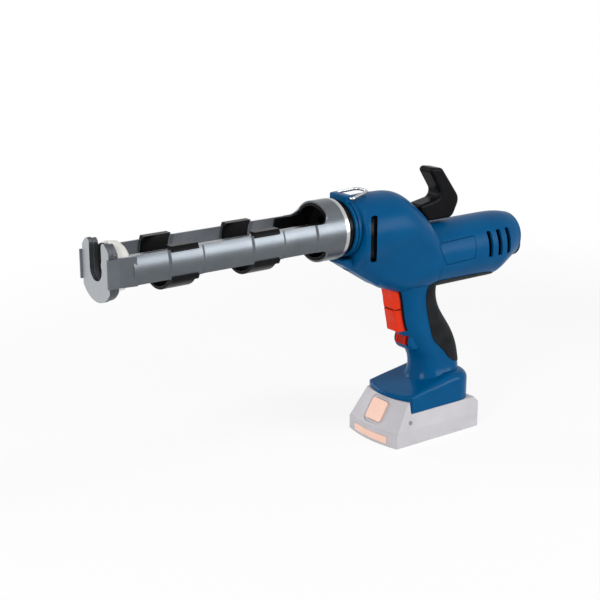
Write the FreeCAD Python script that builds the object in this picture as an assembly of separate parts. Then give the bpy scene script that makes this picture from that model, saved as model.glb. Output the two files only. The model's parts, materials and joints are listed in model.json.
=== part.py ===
import FreeCAD, Part
import math
import os
from FreeCAD import Vector

# A cordless caulking tool. Millimetres; +X is the front, +Y the tool's left, +Z up.
# The origin is the centre of the battery's underside, on which the tool stands.

# Cartridge and piston
CARTRIDGE_R = 24.6
CARTRIDGE_PLAY = 0.6
PISTON_GAP = 2.0
PISTON_LENGTH = 15.5
PISTON_EDGE = 1.5
STROKE = 225.0

# Cradle: a tube cut away above and below, so that two rails are left
AXIS_Z = 234.0
CRADLE_WALL = 1.8
RAIL_HALF_HEIGHT = 13.2
EMBOSS = 1.0
JOGGLE = 2.6
COLLAR_BACK_X = 116.0
WINDOW_BACK_X = 134.0
WINDOW_CORNER_R = 9.0
COLLAR_STEP_X = 149.0
CREASE_X = 347.0
TAB_BEND_X = 360.0
TAB_FRONT_X = 372.0
TAB_INNER_Y = 24.0
PLATE_FRONT_X = 370.0
PLATE_THICK = 4.0
BACKING_THICK = 4.4
PLATE_SEAM = 0.6
PLATE_R = 30.0
BACKING_R = 29.2
NOZZLE_SLOT_R = 10.8
PLATE_CORNER_R = 4.0
SADDLE_LENGTH = 27.5
SADDLE_PAD_BEHIND = 4.0
SADDLE_PAD_AHEAD = 1.0
SADDLE_WALL = 3.0
SADDLE_CUP_WALL = 2.8
SADDLE_FIT = 0.15
SADDLE_FRONT_X = 296.0
SADDLE_REAR_X = 207.5
SADDLE_PAD_Z = 16.6
SADDLE_LIP = 1.5
SADDLE_LIP_DOWN = 1.4
LINER_TONGUE_X = 162.0
COLLAR_RING_LENGTH = 4.0

# Spigot and neck
SPIGOT_R = 27.0
SPIGOT_BORE_R = 14.0
SPIGOT_SHANK_R = 20.0
SPIGOT_NUT_R = 23.0
SPIGOT_NUT_LENGTH = 5.0
RUNNING_FIT = 0.06
TURN_GAP = 0.3
NECK_FRONT_X = 103.6
NECK_R = 29.4
NECK_RIDGE = 2.6
NECK_GROOVE = 1.4

# Rack, gears and pull hook
RACK_HALF_HEIGHT = 6.5
RACK_HALF_WIDTH = 5.0
RACK_FIT = 0.15
RACK_MODULE = 1.5
RACK_ADDENDUM = 1.2
PINION_TEETH = 14
PINION_X = 55.0
PINION_WIDTH = 11.0
GEAR_MODULE = 1.0
DRIVE_TEETH = 44
OUTPUT_TEETH = 18
GEAR_WIDTH = 5.5
GEAR_Y = 8.5
BACKLASH = 0.24
PRESSURE_ANGLE = 20.0
SHAFT_R = 5.0
SHAFT_HALF_LENGTH = 21.0
BEARING_R = 8.0
BEARING_WIDTH = 4.5
OUTPUT_SHAFT_R = 4.0
REAR_BUSH_X = 20.0
REAR_BUSH_LENGTH = 8.0
REAR_BUSH_HALF = 9.5
HOOK_HALF_WIDTH = 10.5
HOOK_BACK_X = -47.0
HOOK_TOP = 47.0
HOOK_FILLET = 3.2

# Housing
WALL = 3.0
DRUM_FRONT_X = 94.0
BARREL_R = 32.0
BARREL_TOP = -11.0
BARREL_BACK_X = -131.0
BARREL_DOME_X = -94.0
BARREL_EDGE_R = 5.0
DRUM_EDGE_R = 3.5
SHOULDER_STEP = 10.0
VENT_WIDTH = 6.2
VENT_HEIGHT = 27.0
VENT_PITCH = 13.6
VENT_X = -76.5
VENT_RISE = 9.0
FRONT_SLOT_X = 86.3
FRONT_SLOT_Y = 35.2
FRONT_SLOT_TURN = 39.0
FRONT_SLOT_WIDTH = 6.2
FRONT_SLOT_TOP = 14.0
FRONT_SLOT_BOTTOM = -34.0
GRIP_DEPTH = 1.8
GRIP_PROUD = 0.5
SCREW_R = 1.8
SCREW_HEAD_R = 3.4
SCREW_BOSS_R = 4.6
# Place of each housing screw along X and above the rack axis, and the depth of its head's seat
SCREWS = [(64.0, 17.5, 14.0), (33.0, 14.0, 16.0), (72.0, -47.0, 10.0), (-118.0, -29.0, 12.0),
          (-108.0, -66.0, 12.0),
          (-22.0, -112.0, 9.0), (-38.0, -150.0, 9.0)]

# Handle and foot
HANDLE_HALF_WIDTH = 18.5
FOOT_HALF_WIDTH = 35.6
FOOT_BOTTOM_Z = 32.8
FOOT_TOP_Z = 63.0
FOOT_FRONT_X = 41.0
FOOT_CORNER_X = 30.5
FOOT_BACK_X = -58.0
FOOT_BACK_R = 24.0
FOOT_LIP_Z = 45.0
FOOT_LIP_TOP_Z = 49.6
FOOT_RISE_X = -24.0
FOOT_FRONT_ROUND = 3.0
FOOT_BACK_ROUND = 9.5
CHANNEL_HALF_WIDTH = 27.0
CHANNEL_CORNER_R = 6.0
RAIL_IN = 3.0
RAIL_LOW_Z = 35.5
RAIL_HIGH_Z = 38.5
BLADE_Y = [-14.0, -5.0, 5.0, 14.0]

# Trigger, lock, dial and hanging ring
TRIGGER_HALF_WIDTH = 8.8
TRIGGER_TRAVEL = 6.0
# Switch module: back, front, half width, low and high above the rack axis
SWITCH = (-14.5, 7.0, 9.0, -112.0, -76.0)
LOCK_HALF_WIDTH = 7.5
TRIGGER_GAP = 0.5
TRIGGER_TOP = -71.0
TRIGGER_BOTTOM = -120.0
TRIGGER_TOP_X = 41.0
TRIGGER_BOTTOM_X = 31.0
LOCK_TRAVEL = 3.0
NOSE_R = 12.0
NOSE_X = 7.0
NOSE_DROP = -132.5
NOSE_HALF_WIDTH = 13.0
DIAL_R = 14.0
DIAL_LENGTH = 8.5
DIAL_RIBS = 24
RING_WIRE_R = 1.5
RING_LENGTH = 27.0
RING_HALF_WIDTH = 16.6
RING_TIP_HALF_WIDTH = 8.5
RING_PITCH_DEG = 7.0
LUG_HALF_WIDTH = 13.0
LUG_TOP = 33.2
LUG_LENGTH = 8.4

# Motor
MOTOR_R = 22.0
MOTOR_BACK_X = -96.0
MOTOR_FRONT_X = -42.0
ROTOR_R = 14.0
MOTOR_SHAFT_R = 3.0
FAN_R = 21.0
FAN_BLADES = 9
GEARBOX_R = 20.5
GEARBOX_BACK_X = -26.0
GEARBOX_STEP_X = 24.0
GEARBOX_FRONT_X = 64.0
GEARBOX_HEAD_R = 10.5

# Battery
BATTERY_HALF_WIDTH = 39.0
BATTERY_BACK_X = -64.0
BATTERY_FRONT_X = 60.0
BATTERY_CORNER_X = 54.5
BATTERY_SLOPE_Z = 14.0
BATTERY_HEAD_Z = 44.6
BATTERY_HEAD_X = 41.0
BATTERY_HEAD_HALF_WIDTH = 33.0
BATTERY_SHOULDER_Z = 32.5
BATTERY_CORNER_R = 9.0
BATTERY_ROOM_R = 4.0
BATTERY_SLANT = 8.0
BATTERY_TROUGH = 1.4
BATTERY_WALL = 2.4
BATTERY_SEAM_Z = 15.0
BATTERY_GAP = 0.3
CELL_R = 10.5
CELL_LENGTH = 70.0
CELL_COUNT = 5
CELL_PITCH = 21.6
CELL_BACK_X = -48.6
CELL_Z = 13.5
BUTTON_Z = 31.0
BUTTON_SIZE = 23.0
BUTTON_TRAVEL = 2.5
BUTTON_THICK = 5.0
BUTTON_PROUD = 1.0

# Places and sizes that follow from the ones above
saddle_inner_r = CARTRIDGE_R + CARTRIDGE_PLAY
liner_outer_r = saddle_inner_r + SADDLE_WALL
raised_inner_r = liner_outer_r + SADDLE_FIT
rail_inner_r = raised_inner_r - EMBOSS
rail_outer_r = rail_inner_r + CRADLE_WALL
raised_outer_r = rail_outer_r + EMBOSS
piston_r = saddle_inner_r - PISTON_GAP
backing_back_x = PLATE_FRONT_X - PLATE_THICK - PLATE_SEAM - BACKING_THICK
piston_front_x = backing_back_x - 0.5
piston_back_x = piston_front_x - PISTON_LENGTH
spigot_front_x = piston_back_x - STROKE - 0.5
collar_ring_back_x = COLLAR_BACK_X - COLLAR_RING_LENGTH
rack_pitch_drop = RACK_HALF_HEIGHT - RACK_ADDENDUM
pinion_pitch_r = RACK_MODULE * PINION_TEETH / 2
pinion_z = AXIS_Z - rack_pitch_drop - pinion_pitch_r
gear_distance = GEAR_MODULE * (DRIVE_TEETH + OUTPUT_TEETH) / 2
motor_z = pinion_z - gear_distance
barrel_drop = motor_z - AXIS_Z
channel_top_z = FOOT_LIP_Z
board_z = FOOT_LIP_Z + WALL
slope_run = math.hypot(BATTERY_FRONT_X - BATTERY_HEAD_X, BATTERY_HEAD_Z - BATTERY_SLOPE_Z)
slope_normal = Vector((BATTERY_HEAD_Z - BATTERY_SLOPE_Z) / slope_run, 0,
                      (BATTERY_FRONT_X - BATTERY_HEAD_X) / slope_run)
slope_tilt = math.degrees(math.atan2(slope_normal.z, slope_normal.x))
slope_lean = (BATTERY_FRONT_X - BATTERY_HEAD_X) / (BATTERY_HEAD_Z - BATTERY_SLOPE_Z)
slope_mid_x = BATTERY_FRONT_X - slope_lean * (BUTTON_Z - BATTERY_SLOPE_Z)
dial_z = motor_z - 3.0
ring_hinge_x = NECK_FRONT_X - LUG_LENGTH / 2
ring_hinge_z = AXIS_Z + LUG_TOP - RING_WIRE_R - 1.2

X_DIR = Vector(1, 0, 0)
Y_DIR = Vector(0, 1, 0)
Z_DIR = Vector(0, 0, 1)
FAR = 400.0


def box(x0, x1, y0, y1, z0, z1):
    return Part.makeBox(x1 - x0, y1 - y0, z1 - z0, Vector(x0, y0, z0))


def rod_x(x0, x1, r, z=AXIS_Z, y=0.0):
    return Part.makeCylinder(r, x1 - x0, Vector(x0, y, z), X_DIR)


def rod_y(y0, y1, r, x, z):
    return Part.makeCylinder(r, y1 - y0, Vector(x, y0, z), Y_DIR)


def tube_x(x0, x1, outer_r, inner_r, z=AXIS_Z):
    return rod_x(x0, x1, outer_r, z).cut(rod_x(x0, x1, inner_r, z))


def prism(points, direction):
    return Part.Face(Part.makePolygon(points + [points[0]])).extrude(direction)


def prism_x(points_yz, x0, x1):
    return prism([Vector(x0, y, z) for y, z in points_yz], Vector(x1 - x0, 0, 0))


def prism_y(points_xz, y0, y1):
    return prism([Vector(x, y0, z) for x, z in points_xz], Vector(0, y1 - y0, 0))


def prism_z(points_xy, z0, z1):
    return prism([Vector(x, y, z0) for x, y in points_xy], Vector(0, 0, z1 - z0))


def join(first, *others):
    return first.multiFuse(list(others)).removeSplitter()


def trim(shape, *tools):
    return shape.cut(list(tools))


def turned(shape, degrees, x, z):
    """The shape turned about the Y direction through (x, z)."""
    copy = shape.copy()
    copy.rotate(Vector(x, 0, z), Y_DIR, degrees)
    return copy


def revolved_x(points_xr, z=AXIS_Z):
    """Solid of revolution about the X direction, from an outline of (x, radius)."""
    face = Part.Face(Part.makePolygon([Vector(x, 0, z + r) for x, r in points_xr + [points_xr[0]]]))
    return face.revolve(Vector(0, 0, z), X_DIR, 360)


def edges_where(shape, test):
    return [e for e in shape.Edges if test(e)]


def egg_wire(place, along, a1, r1, a2, r2):
    """Outline round two circles of radii r1 and r2, whose centres lie at a1 and a2 along one direction."""
    lean = (r2 - r1) / (a1 - a2)
    side = math.sqrt(1 - lean * lean)

    def at(a, r, na, ny):
        return place + along * (a + r * na) + Y_DIR * (r * ny)

    def arc(a, r, na0, ny0, na1, ny1):
        mid_a, mid_y = na0 + na1, ny0 + ny1
        size = math.hypot(mid_a, mid_y)
        return Part.Arc(at(a, r, na0, ny0), at(a, r, mid_a / size, mid_y / size),
                        at(a, r, na1, ny1)).toShape()

    edges = [
        arc(a1, r1, 1, 0, lean, side),
        Part.LineSegment(at(a1, r1, lean, side), at(a2, r2, lean, side)).toShape(),
        arc(a2, r2, lean, side, -1, 0),
        arc(a2, r2, -1, 0, lean, -side),
        Part.LineSegment(at(a2, r2, lean, -side), at(a1, r1, lean, -side)).toShape(),
        arc(a1, r1, lean, -side, 1, 0),
    ]
    return Part.Wire(edges)


def body_section(x, top, top_r, bottom, bottom_r, inset):
    """Cross-section of the body at x, with its top and bottom given from the rack's axis."""
    return egg_wire(Vector(x, 0, AXIS_Z), Z_DIR, top - top_r, top_r - inset, bottom + bottom_r,
                    bottom_r - inset)


def rounded_end(x, toward, sizes, r, inset):
    """End of a body form whose rim is rounded over, from sections that shrink along a quarter circle."""
    wires = []
    for n in range(5):
        angle = math.radians(22.5 * n)
        shrink = inset + (r - inset) * (1.0 - math.cos(angle))
        wires.append(body_section(x + toward * (r - inset) * math.sin(angle), *sizes, shrink))
    return Part.makeLoft(wires, True, False)


def shoulder_form(inset):
    """Gear drum and the shoulder that runs down from it into the motor barrel, as one loft."""
    stations = [
        (28.0, 35.3, -46.3, 23.4), (29.2, 36.0, -52.6, 24.2), (29.7, 36.4, -58.7, 24.7),
        (29.8, 36.5, -64.8, 25.2),
        (29.6, 36.5, -70.3, 25.7), (28.8, 36.4, -75.0, 26.4), (25.6, 36.0, -78.2, 27.4),
        (18.8, 35.2, -79.6, 28.4),
        (10.6, 34.2, -80.0, 29.4), (0.2, 33.0, -79.8, 30.4), (-11.6, 31.5, -78.9, 30.8),
        (-15.8, 29.2, -77.3, 29.3),
    ]
    front = DRUM_FRONT_X - DRUM_EDGE_R
    wires = [body_section(front - n * SHOULDER_STEP, *sizes, inset) for n, sizes in enumerate(stations)]
    return join(Part.makeLoft(wires, True, False), rounded_end(front, 1, stations[0], DRUM_EDGE_R, inset))


def barrel_form(inset):
    """Motor barrel: a cone out of the shoulder, a straight run and a dome that leans up at its back."""
    top, low, r = BARREL_TOP, barrel_drop - BARREL_R, BARREL_R
    cone_sections = [(30.0, top - 8.0, r - 6.0, low + 6.0, r - 6.0), (-10.0, top, r, low, r)]
    run_sections = [(-10.0, top, r, low, r), (BARREL_DOME_X, top, r, low, r)]
    back = BARREL_BACK_X + BARREL_EDGE_R
    shrinks = [(0.0, 0.0, 0.0), (0.15, 2.2, 0.8), (0.6, 6.6, 2.5), (1.6, 11.0, 5.0), (3.4, 15.2, 8.0)]
    dome_sections = []
    for n, (down, up, less) in enumerate(shrinks):
        x = BARREL_DOME_X + (back - BARREL_DOME_X) * n / (len(shrinks) - 1)
        dome_sections.append((x, top - down, r - less, low + up, r - less))
    forms = []
    for sections in (cone_sections, run_sections, dome_sections):
        forms.append(Part.makeLoft([body_section(*sizes, inset) for sizes in sections], True,
                                   len(sections) == 2))
    return join(*forms, rounded_end(back, -1, dome_sections[-1][1:], BARREL_EDGE_R, inset))


def body_form(inset):
    return join(shoulder_form(inset), barrel_form(inset))


def neck_form():
    back = DRUM_FRONT_X - 1.0
    low = NECK_R - NECK_GROOVE
    ridge_2_front = NECK_FRONT_X - NECK_RIDGE - NECK_GROOVE
    profile = [
        (back, 0.0), (back, low), (ridge_2_front - NECK_RIDGE, low), (ridge_2_front - NECK_RIDGE, NECK_R),
        (ridge_2_front, NECK_R), (ridge_2_front, low), (NECK_FRONT_X - NECK_RIDGE, low),
        (NECK_FRONT_X - NECK_RIDGE, NECK_R), (NECK_FRONT_X, NECK_R), (NECK_FRONT_X, 0.0),
    ]
    return revolved_x(profile)


def handle_form(inset):
    """Slanted handle, from inside the body down into the foot, with the flare at both ends."""
    top, low = AXIS_Z - 60.0, FOOT_TOP_Z - 4.0
    stations = [
        (41.0, -27.0, 23.5), (32.5, -21.5, 18.4), (29.0, -25.0, 18.0), (24.0, -37.0, 18.4),
        (13.5, -48.5, 18.8), (3.0, -54.5, 19.2), (1.0, -57.0, 20.5),
    ]
    wires = []
    for n, (front, back, half_width) in enumerate(stations):
        r = half_width * HANDLE_HALF_WIDTH / 18.5
        z = top - n * (top - low) / (len(stations) - 1)
        wires.append(egg_wire(Vector(0, 0, z), X_DIR, front - r, r - inset, back + r, r - inset))
    return Part.makeLoft(wires, True, False)


def foot_plan():
    """Plan outline of the foot as a face at z = 0: bowed front, straight sides, round back corners."""
    w, front, corner = FOOT_HALF_WIDTH, FOOT_FRONT_X, FOOT_CORNER_X
    back, r = FOOT_BACK_X, FOOT_BACK_R
    d = r * (1 - math.sqrt(0.5))
    edges = [
        Part.Arc(Vector(corner, w, 0), Vector(front, 0, 0), Vector(corner, -w, 0)).toShape(),
        Part.LineSegment(Vector(corner, -w, 0), Vector(back + r, -w, 0)).toShape(),
        Part.Arc(Vector(back + r, -w, 0), Vector(back + d, -w + d, 0), Vector(back, -w + r, 0)).toShape(),
        Part.LineSegment(Vector(back, -w + r, 0), Vector(back, w - r, 0)).toShape(),
        Part.Arc(Vector(back, w - r, 0), Vector(back + d, w - d, 0), Vector(back + r, w, 0)).toShape(),
        Part.LineSegment(Vector(back + r, w, 0), Vector(corner, w, 0)).toShape(),
    ]
    return Part.Face(Part.Wire(edges))


def foot_round(point):
    """Radius of the foot's upper edge: small at the front corners, growing towards the back."""
    share = (FOOT_CORNER_X - point.x) / (FOOT_CORNER_X - FOOT_RISE_X)
    return FOOT_FRONT_ROUND + (FOOT_BACK_ROUND - FOOT_FRONT_ROUND) * min(max(share, 0.0), 1.0)


def foot_form():
    block = foot_plan().extrude(Vector(0, 0, FOOT_TOP_Z + 10.0))
    low, lip, top = FOOT_BOTTOM_Z, FOOT_LIP_TOP_Z, FOOT_TOP_Z
    ahead, rise, behind, y = FOOT_FRONT_X + 10.0, FOOT_RISE_X, FOOT_BACK_X - 10.0, -FAR / 2
    nose, crown = Vector(ahead, y, lip - 3.0), Vector(rise, y, top)
    edges = [
        Part.LineSegment(Vector(ahead, y, low), nose).toShape(),
        Part.Arc(nose, Vector(22.0, y, lip + 3.4), crown).toShape(),
        Part.LineSegment(crown, Vector(behind, y, top)).toShape(),
        Part.LineSegment(Vector(behind, y, top), Vector(behind, y, low)).toShape(),
        Part.LineSegment(Vector(behind, y, low), Vector(ahead, y, low)).toShape(),
    ]
    foot = block.common(Part.Face(Part.Wire(edges)).extrude(Vector(0, FAR, 0)))
    rounds = []
    for number, edge in enumerate(foot.Edges, 1):
        across = edge.BoundBox.XLength < 0.1 and edge.BoundBox.YLength > 2 * FOOT_HALF_WIDTH - 1.0
        if edge.BoundBox.ZMin > lip - 6.0 and edge.BoundBox.ZMax > lip - 4.0 and not across:
            ends = [edge.valueAt(edge.FirstParameter), edge.valueAt(edge.LastParameter)]
            rounds.append((number, foot_round(ends[0]), foot_round(ends[1])))
    page = FreeCAD.newDocument("foot")
    blank = page.addObject("Part::Feature", "blank")
    blank.Shape = foot
    rounded = page.addObject("Part::Fillet", "rounded")
    rounded.Base = blank
    rounded.Edges = rounds
    page.recompute()
    return rounded.Shape


def ankle_form():
    """Flare with which the handle runs out onto the foot."""
    rises = [(24.0, 6.0, -0.6), (17.0, 3.8, -0.5), (10.0, 2.4, 0.1),
             (3.0, 2.4, 1.6), (-4.0, 4.4, 5.0), (-11.0, 9.0, 10.0)]
    wires = []
    for up, front, grow in rises:
        r = HANDLE_HALF_WIDTH + 1.2 + grow
        back = -55.5 + 0.06 * up
        wires.append(egg_wire(Vector(0, 0, FOOT_TOP_Z + up), X_DIR, front - r, r, back + r, r))
    return Part.makeLoft(wires, True, False)


def rounded_edges(points, radii, place, closed):
    """Lines and corner arcs through the points; place turns a pair of numbers into a point in space."""
    n = len(points)
    corners, edges = [], []
    for i in range(n):
        here = Vector(points[i][0], points[i][1], 0)
        before, after = points[i - 1], points[(i + 1) % n]
        if radii[i] <= 0:
            corners.append((here, None, here))
            continue
        a = (Vector(before[0], before[1], 0) - here).normalize()
        b = (Vector(after[0], after[1], 0) - here).normalize()
        half = math.acos(a.dot(b)) / 2
        reach = radii[i] / math.tan(half)
        middle = (a + b).normalize() * (radii[i] / math.sin(half) - radii[i])
        corners.append((here + a * reach, here + middle, here + b * reach))
    for i in range(n):
        first, middle, last = corners[i]
        if middle is not None:
            edges.append(Part.Arc(place(first.x, first.y), place(middle.x, middle.y),
                                  place(last.x, last.y)).toShape())
        if i < n - 1 or closed:
            following = corners[(i + 1) % n][0]
            edges.append(Part.LineSegment(place(last.x, last.y), place(following.x, following.y)).toShape())
    return edges


def rounded_face(points, radii, place):
    return Part.Face(Part.Wire(rounded_edges(points, radii, place, True)))


def rounded_prism_y(points_xz, radii, half_width):
    """Rounded side outline, with heights from the rack's axis, as a prism across the tool."""
    face = rounded_face(points_xz, radii, lambda x, z: Vector(x, -half_width, AXIS_Z + z))
    return face.extrude(Vector(0, 2 * half_width, 0))


def nose_form():
    """Guard under the trigger that holds the lock."""
    nose = rod_y(-NOSE_HALF_WIDTH, NOSE_HALF_WIDTH, NOSE_R, NOSE_X, AXIS_Z + NOSE_DROP)
    return nose.makeFillet(5.0, edges_where(nose, lambda e: e.Closed))


def chin_form():
    """Jaw that reaches forward under the neck."""
    outline = [(80.0, -30.0), (107.0, -30.4), (107.0, -35.2), (60.0, -65.0), (60.0, -45.0)]
    chin = prism_y([(x, AXIS_Z + z) for x, z in outline], -14.0, 14.0)
    sides = edges_where(chin, lambda e: e.BoundBox.YLength < 0.1 and e.BoundBox.XLength > 40.0)
    chin = chin.makeFillet(6.0, sides)
    lip = edges_where(chin, lambda e: e.BoundBox.XMin > 106.9 and e.BoundBox.ZMin > AXIS_Z - 35.3)
    return chin.makeFillet(2.0, lip)


def grip_zone(margin):
    """Side outline of the rubber grip: the back of the handle and a strip along the belly of the barrel."""
    dx = margin
    edge = [(-104.0, 152.0), (-90.0, 161.5), (-72.9, 164.2), (-46.0, 165.4), (-21.7, 166.0), (-8.9, 165.2),
            (-1.6, 160.5),
            (1.0, 150.0), (-1.2, 131.5), (-6.1, 112.3), (-10.2, 101.5), (-17.6, 93.2), (-25.5, 85.5),
            (-33.0, 76.5),
            (-42.0, 71.5), (-52.0, 70.0)]
    lift = AXIS_Z - 234.0
    curve = Part.BSplineCurve()
    curve.interpolate([Vector(x + dx, -FAR / 2, z + lift) for x, z in edge])
    first, last = curve.StartPoint, curve.EndPoint
    outside = [last, Vector(-130.0, -FAR / 2, last.z), Vector(-130.0, -FAR / 2, first.z)]
    edges = [curve.toShape(), Part.LineSegment(outside[0], outside[1]).toShape(),
             Part.LineSegment(outside[1], outside[2]).toShape(),
             Part.LineSegment(outside[2], first).toShape()]
    return Part.Face(Part.Wire(edges)).extrude(Vector(0, FAR, 0))


def skin(inset):
    return join(body_form(inset), handle_form(inset))


def gear_outline(module, teeth, addendum, dedendum):
    """Half the angles and radii of one involute tooth, as (radius, half angle) from root to tip."""
    pitch_r = module * teeth / 2
    base_r = pitch_r * math.cos(math.radians(PRESSURE_ANGLE))
    half_pitch = (math.pi * module / 2 - BACKLASH / 2) / pitch_r / 2
    involute = math.tan(math.radians(PRESSURE_ANGLE)) - math.radians(PRESSURE_ANGLE)

    def half_angle(r):
        if r <= base_r:
            return half_pitch + involute
        a = math.acos(base_r / r)
        return half_pitch + involute - (math.tan(a) - a)

    root_r, tip_r = pitch_r - dedendum, pitch_r + addendum
    mid_r = (max(root_r, base_r) + tip_r) / 2
    return [(r, half_angle(r)) for r in (root_r, mid_r, tip_r)]


def spur_gear(module, teeth, addendum, dedendum, x, z, y0, y1, start_deg):
    """Toothed disc whose axis lies along Y, with a tooth at start_deg from the upward direction."""
    tooth = gear_outline(module, teeth, addendum, dedendum)
    step = 2 * math.pi / teeth

    def at(r, angle):
        return Vector(x + r * math.sin(angle), y0, z + r * math.cos(angle))

    edges = []
    for n in range(teeth):
        mid = math.radians(start_deg) + n * step
        (r0, a0), (r1, a1), (r2, a2) = tooth
        edges.append(Part.Arc(at(r0, mid - a0), at(r1, mid - a1), at(r2, mid - a2)).toShape())
        edges.append(Part.LineSegment(at(r2, mid - a2), at(r2, mid + a2)).toShape())
        edges.append(Part.Arc(at(r2, mid + a2), at(r1, mid + a1), at(r0, mid + a0)).toShape())
        edges.append(Part.LineSegment(at(r0, mid + a0), at(r0, mid + step - a0)).toShape())
    return Part.Face(Part.Wire(edges)).extrude(Vector(0, y1 - y0, 0))


def cradle_tube():
    """Rails, collar and front tabs, bent from one tube."""
    zones = [(COLLAR_BACK_X, COLLAR_STEP_X)]
    for x in (SADDLE_REAR_X, SADDLE_FRONT_X):
        zones.append((x - SADDLE_LENGTH / 2 - SADDLE_PAD_BEHIND, x + SADDLE_LENGTH / 2 + SADDLE_PAD_AHEAD))
    outer, inner = [], []
    for n, (start, end) in enumerate(zones):
        if n:
            outer.append((start - JOGGLE, rail_outer_r))
            inner.append((start - JOGGLE, rail_inner_r))
        outer += [(start, raised_outer_r), (end, raised_outer_r), (end + JOGGLE, rail_outer_r)]
        inner += [(start, raised_inner_r), (end, raised_inner_r), (end + JOGGLE, rail_inner_r)]
    outer.append((CREASE_X + 1.0, rail_outer_r))
    inner.append((CREASE_X + 1.0, rail_inner_r))
    tube = revolved_x(outer + inner[::-1])
    for side in (1, -1):
        z0, z1 = sorted((AXIS_Z + side * RAIL_HALF_HEIGHT, AXIS_Z + side * FAR / 4))
        window = box(WINDOW_BACK_X, CREASE_X + 20.0, -rail_outer_r - 5.0, rail_outer_r + 5.0, z0, z1)
        low = edges_where(window,
                          lambda e: e.BoundBox.XMax < WINDOW_BACK_X + 0.1 and e.BoundBox.YLength > 10.0
                          and abs(e.BoundBox.ZMin - AXIS_Z) < RAIL_HALF_HEIGHT + 0.1)
        tube = tube.cut(window.makeFillet(WINDOW_CORNER_R, low))
    tabs = []
    bend_y = TAB_INNER_Y + CRADLE_WALL
    for side in (1, -1):
        plan = [(CREASE_X - 2.0, side * (rail_inner_r - 0.5)), (TAB_BEND_X, side * TAB_INNER_Y),
                (TAB_FRONT_X, side * TAB_INNER_Y),
                (TAB_FRONT_X, side * bend_y), (TAB_BEND_X + 0.4, side * bend_y),
                (CREASE_X - 2.0, side * (rail_outer_r - 0.5))]
        tabs.append(prism_z(plan, AXIS_Z - RAIL_HALF_HEIGHT, AXIS_Z + RAIL_HALF_HEIGHT))
    return join(tube, *tabs)


def nozzle_plate(x0, x1, r):
    """Round plate with two flats for the tabs and a slot, open at the top, for the nozzle."""
    flat = TAB_INNER_Y - SADDLE_FIT
    plate = rod_x(x0, x1, r)
    plate = plate.common(box(x0, x1, -flat, flat, AXIS_Z - FAR / 4, AXIS_Z + FAR / 4))
    slot = join(rod_x(x0, x1, NOZZLE_SLOT_R), box(x0, x1, -NOZZLE_SLOT_R, NOZZLE_SLOT_R, AXIS_Z,
                                                  AXIS_Z + FAR / 4))
    plate = plate.cut(slot)
    along_x = edges_where(plate, lambda e: e.BoundBox.YLength + e.BoundBox.ZLength < 0.1)
    tips = [e for e in along_x if e.BoundBox.ZMin > AXIS_Z + 15.0]
    return plate.makeFillet(PLATE_CORNER_R, tips)


def saddle(x):
    """C-shaped clip that hooks over both rails and carries the cartridge."""
    x0, x1 = x - SADDLE_LENGTH / 2, x + SADDLE_LENGTH / 2
    lip_r = raised_outer_r + SADDLE_FIT + SADDLE_LIP

    def band(r, low, high):
        ring = tube_x(x0, x1, r, saddle_inner_r)
        return ring.common(box(x0, x1, -FAR / 4, FAR / 4, AXIS_Z + low, AXIS_Z + high))

    edge = RAIL_HALF_HEIGHT + SADDLE_FIT
    blank = join(band(saddle_inner_r + SADDLE_CUP_WALL, -FAR / 4, 0.0),
                 band(raised_outer_r - 0.3, -SADDLE_PAD_Z, SADDLE_PAD_Z),
                 band(lip_r, RAIL_HALF_HEIGHT - SADDLE_LIP_DOWN, SADDLE_PAD_Z),
                 band(lip_r, -SADDLE_PAD_Z, -RAIL_HALF_HEIGHT + SADDLE_LIP_DOWN))
    rail = tube_x(x0, x1, raised_outer_r + SADDLE_FIT, raised_inner_r - SADDLE_FIT / 2)
    rail = rail.common(box(x0, x1, -FAR / 4, FAR / 4, AXIS_Z - edge, AXIS_Z + edge))
    return blank.cut(rail)


def collar_liner():
    """Black sleeve in the collar, with two tongues along the rails."""
    back = spigot_front_x + 0.4
    sleeve = tube_x(back, LINER_TONGUE_X, raised_inner_r - 0.1, saddle_inner_r)
    narrow = tube_x(COLLAR_STEP_X, LINER_TONGUE_X, FAR / 8, rail_inner_r - 0.1)
    sleeve = sleeve.cut(narrow)
    for side in (1, -1):
        z0, z1 = sorted((AXIS_Z + side * (RAIL_HALF_HEIGHT - 0.4), AXIS_Z + side * FAR / 4))
        sleeve = sleeve.cut(box(WINDOW_BACK_X + 1.0, LINER_TONGUE_X, -FAR / 4, FAR / 4, z0, z1))
    return sleeve


def front_spigot():
    """Neck on which the cradle turns, clamped through the front of the drum by its nut."""
    wall_back = DRUM_FRONT_X - WALL
    lip_back = COLLAR_BACK_X + TURN_GAP
    profile = [
        (wall_back - SPIGOT_NUT_LENGTH, SPIGOT_BORE_R), (wall_back - SPIGOT_NUT_LENGTH, SPIGOT_NUT_R),
        (wall_back, SPIGOT_NUT_R),
        (wall_back, SPIGOT_SHANK_R), (DRUM_FRONT_X, SPIGOT_SHANK_R), (DRUM_FRONT_X, SPIGOT_R),
        (lip_back, SPIGOT_R), (lip_back, raised_inner_r - TURN_GAP),
        (spigot_front_x, raised_inner_r - TURN_GAP),
        (spigot_front_x, SPIGOT_BORE_R),
    ]
    return revolved_x(profile)


def rack_hole(x0, x1, gap):
    y, z = RACK_HALF_WIDTH + gap, RACK_HALF_HEIGHT + gap
    return box(x0, x1, -y, y, AXIS_Z - z, AXIS_Z + z)


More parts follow.
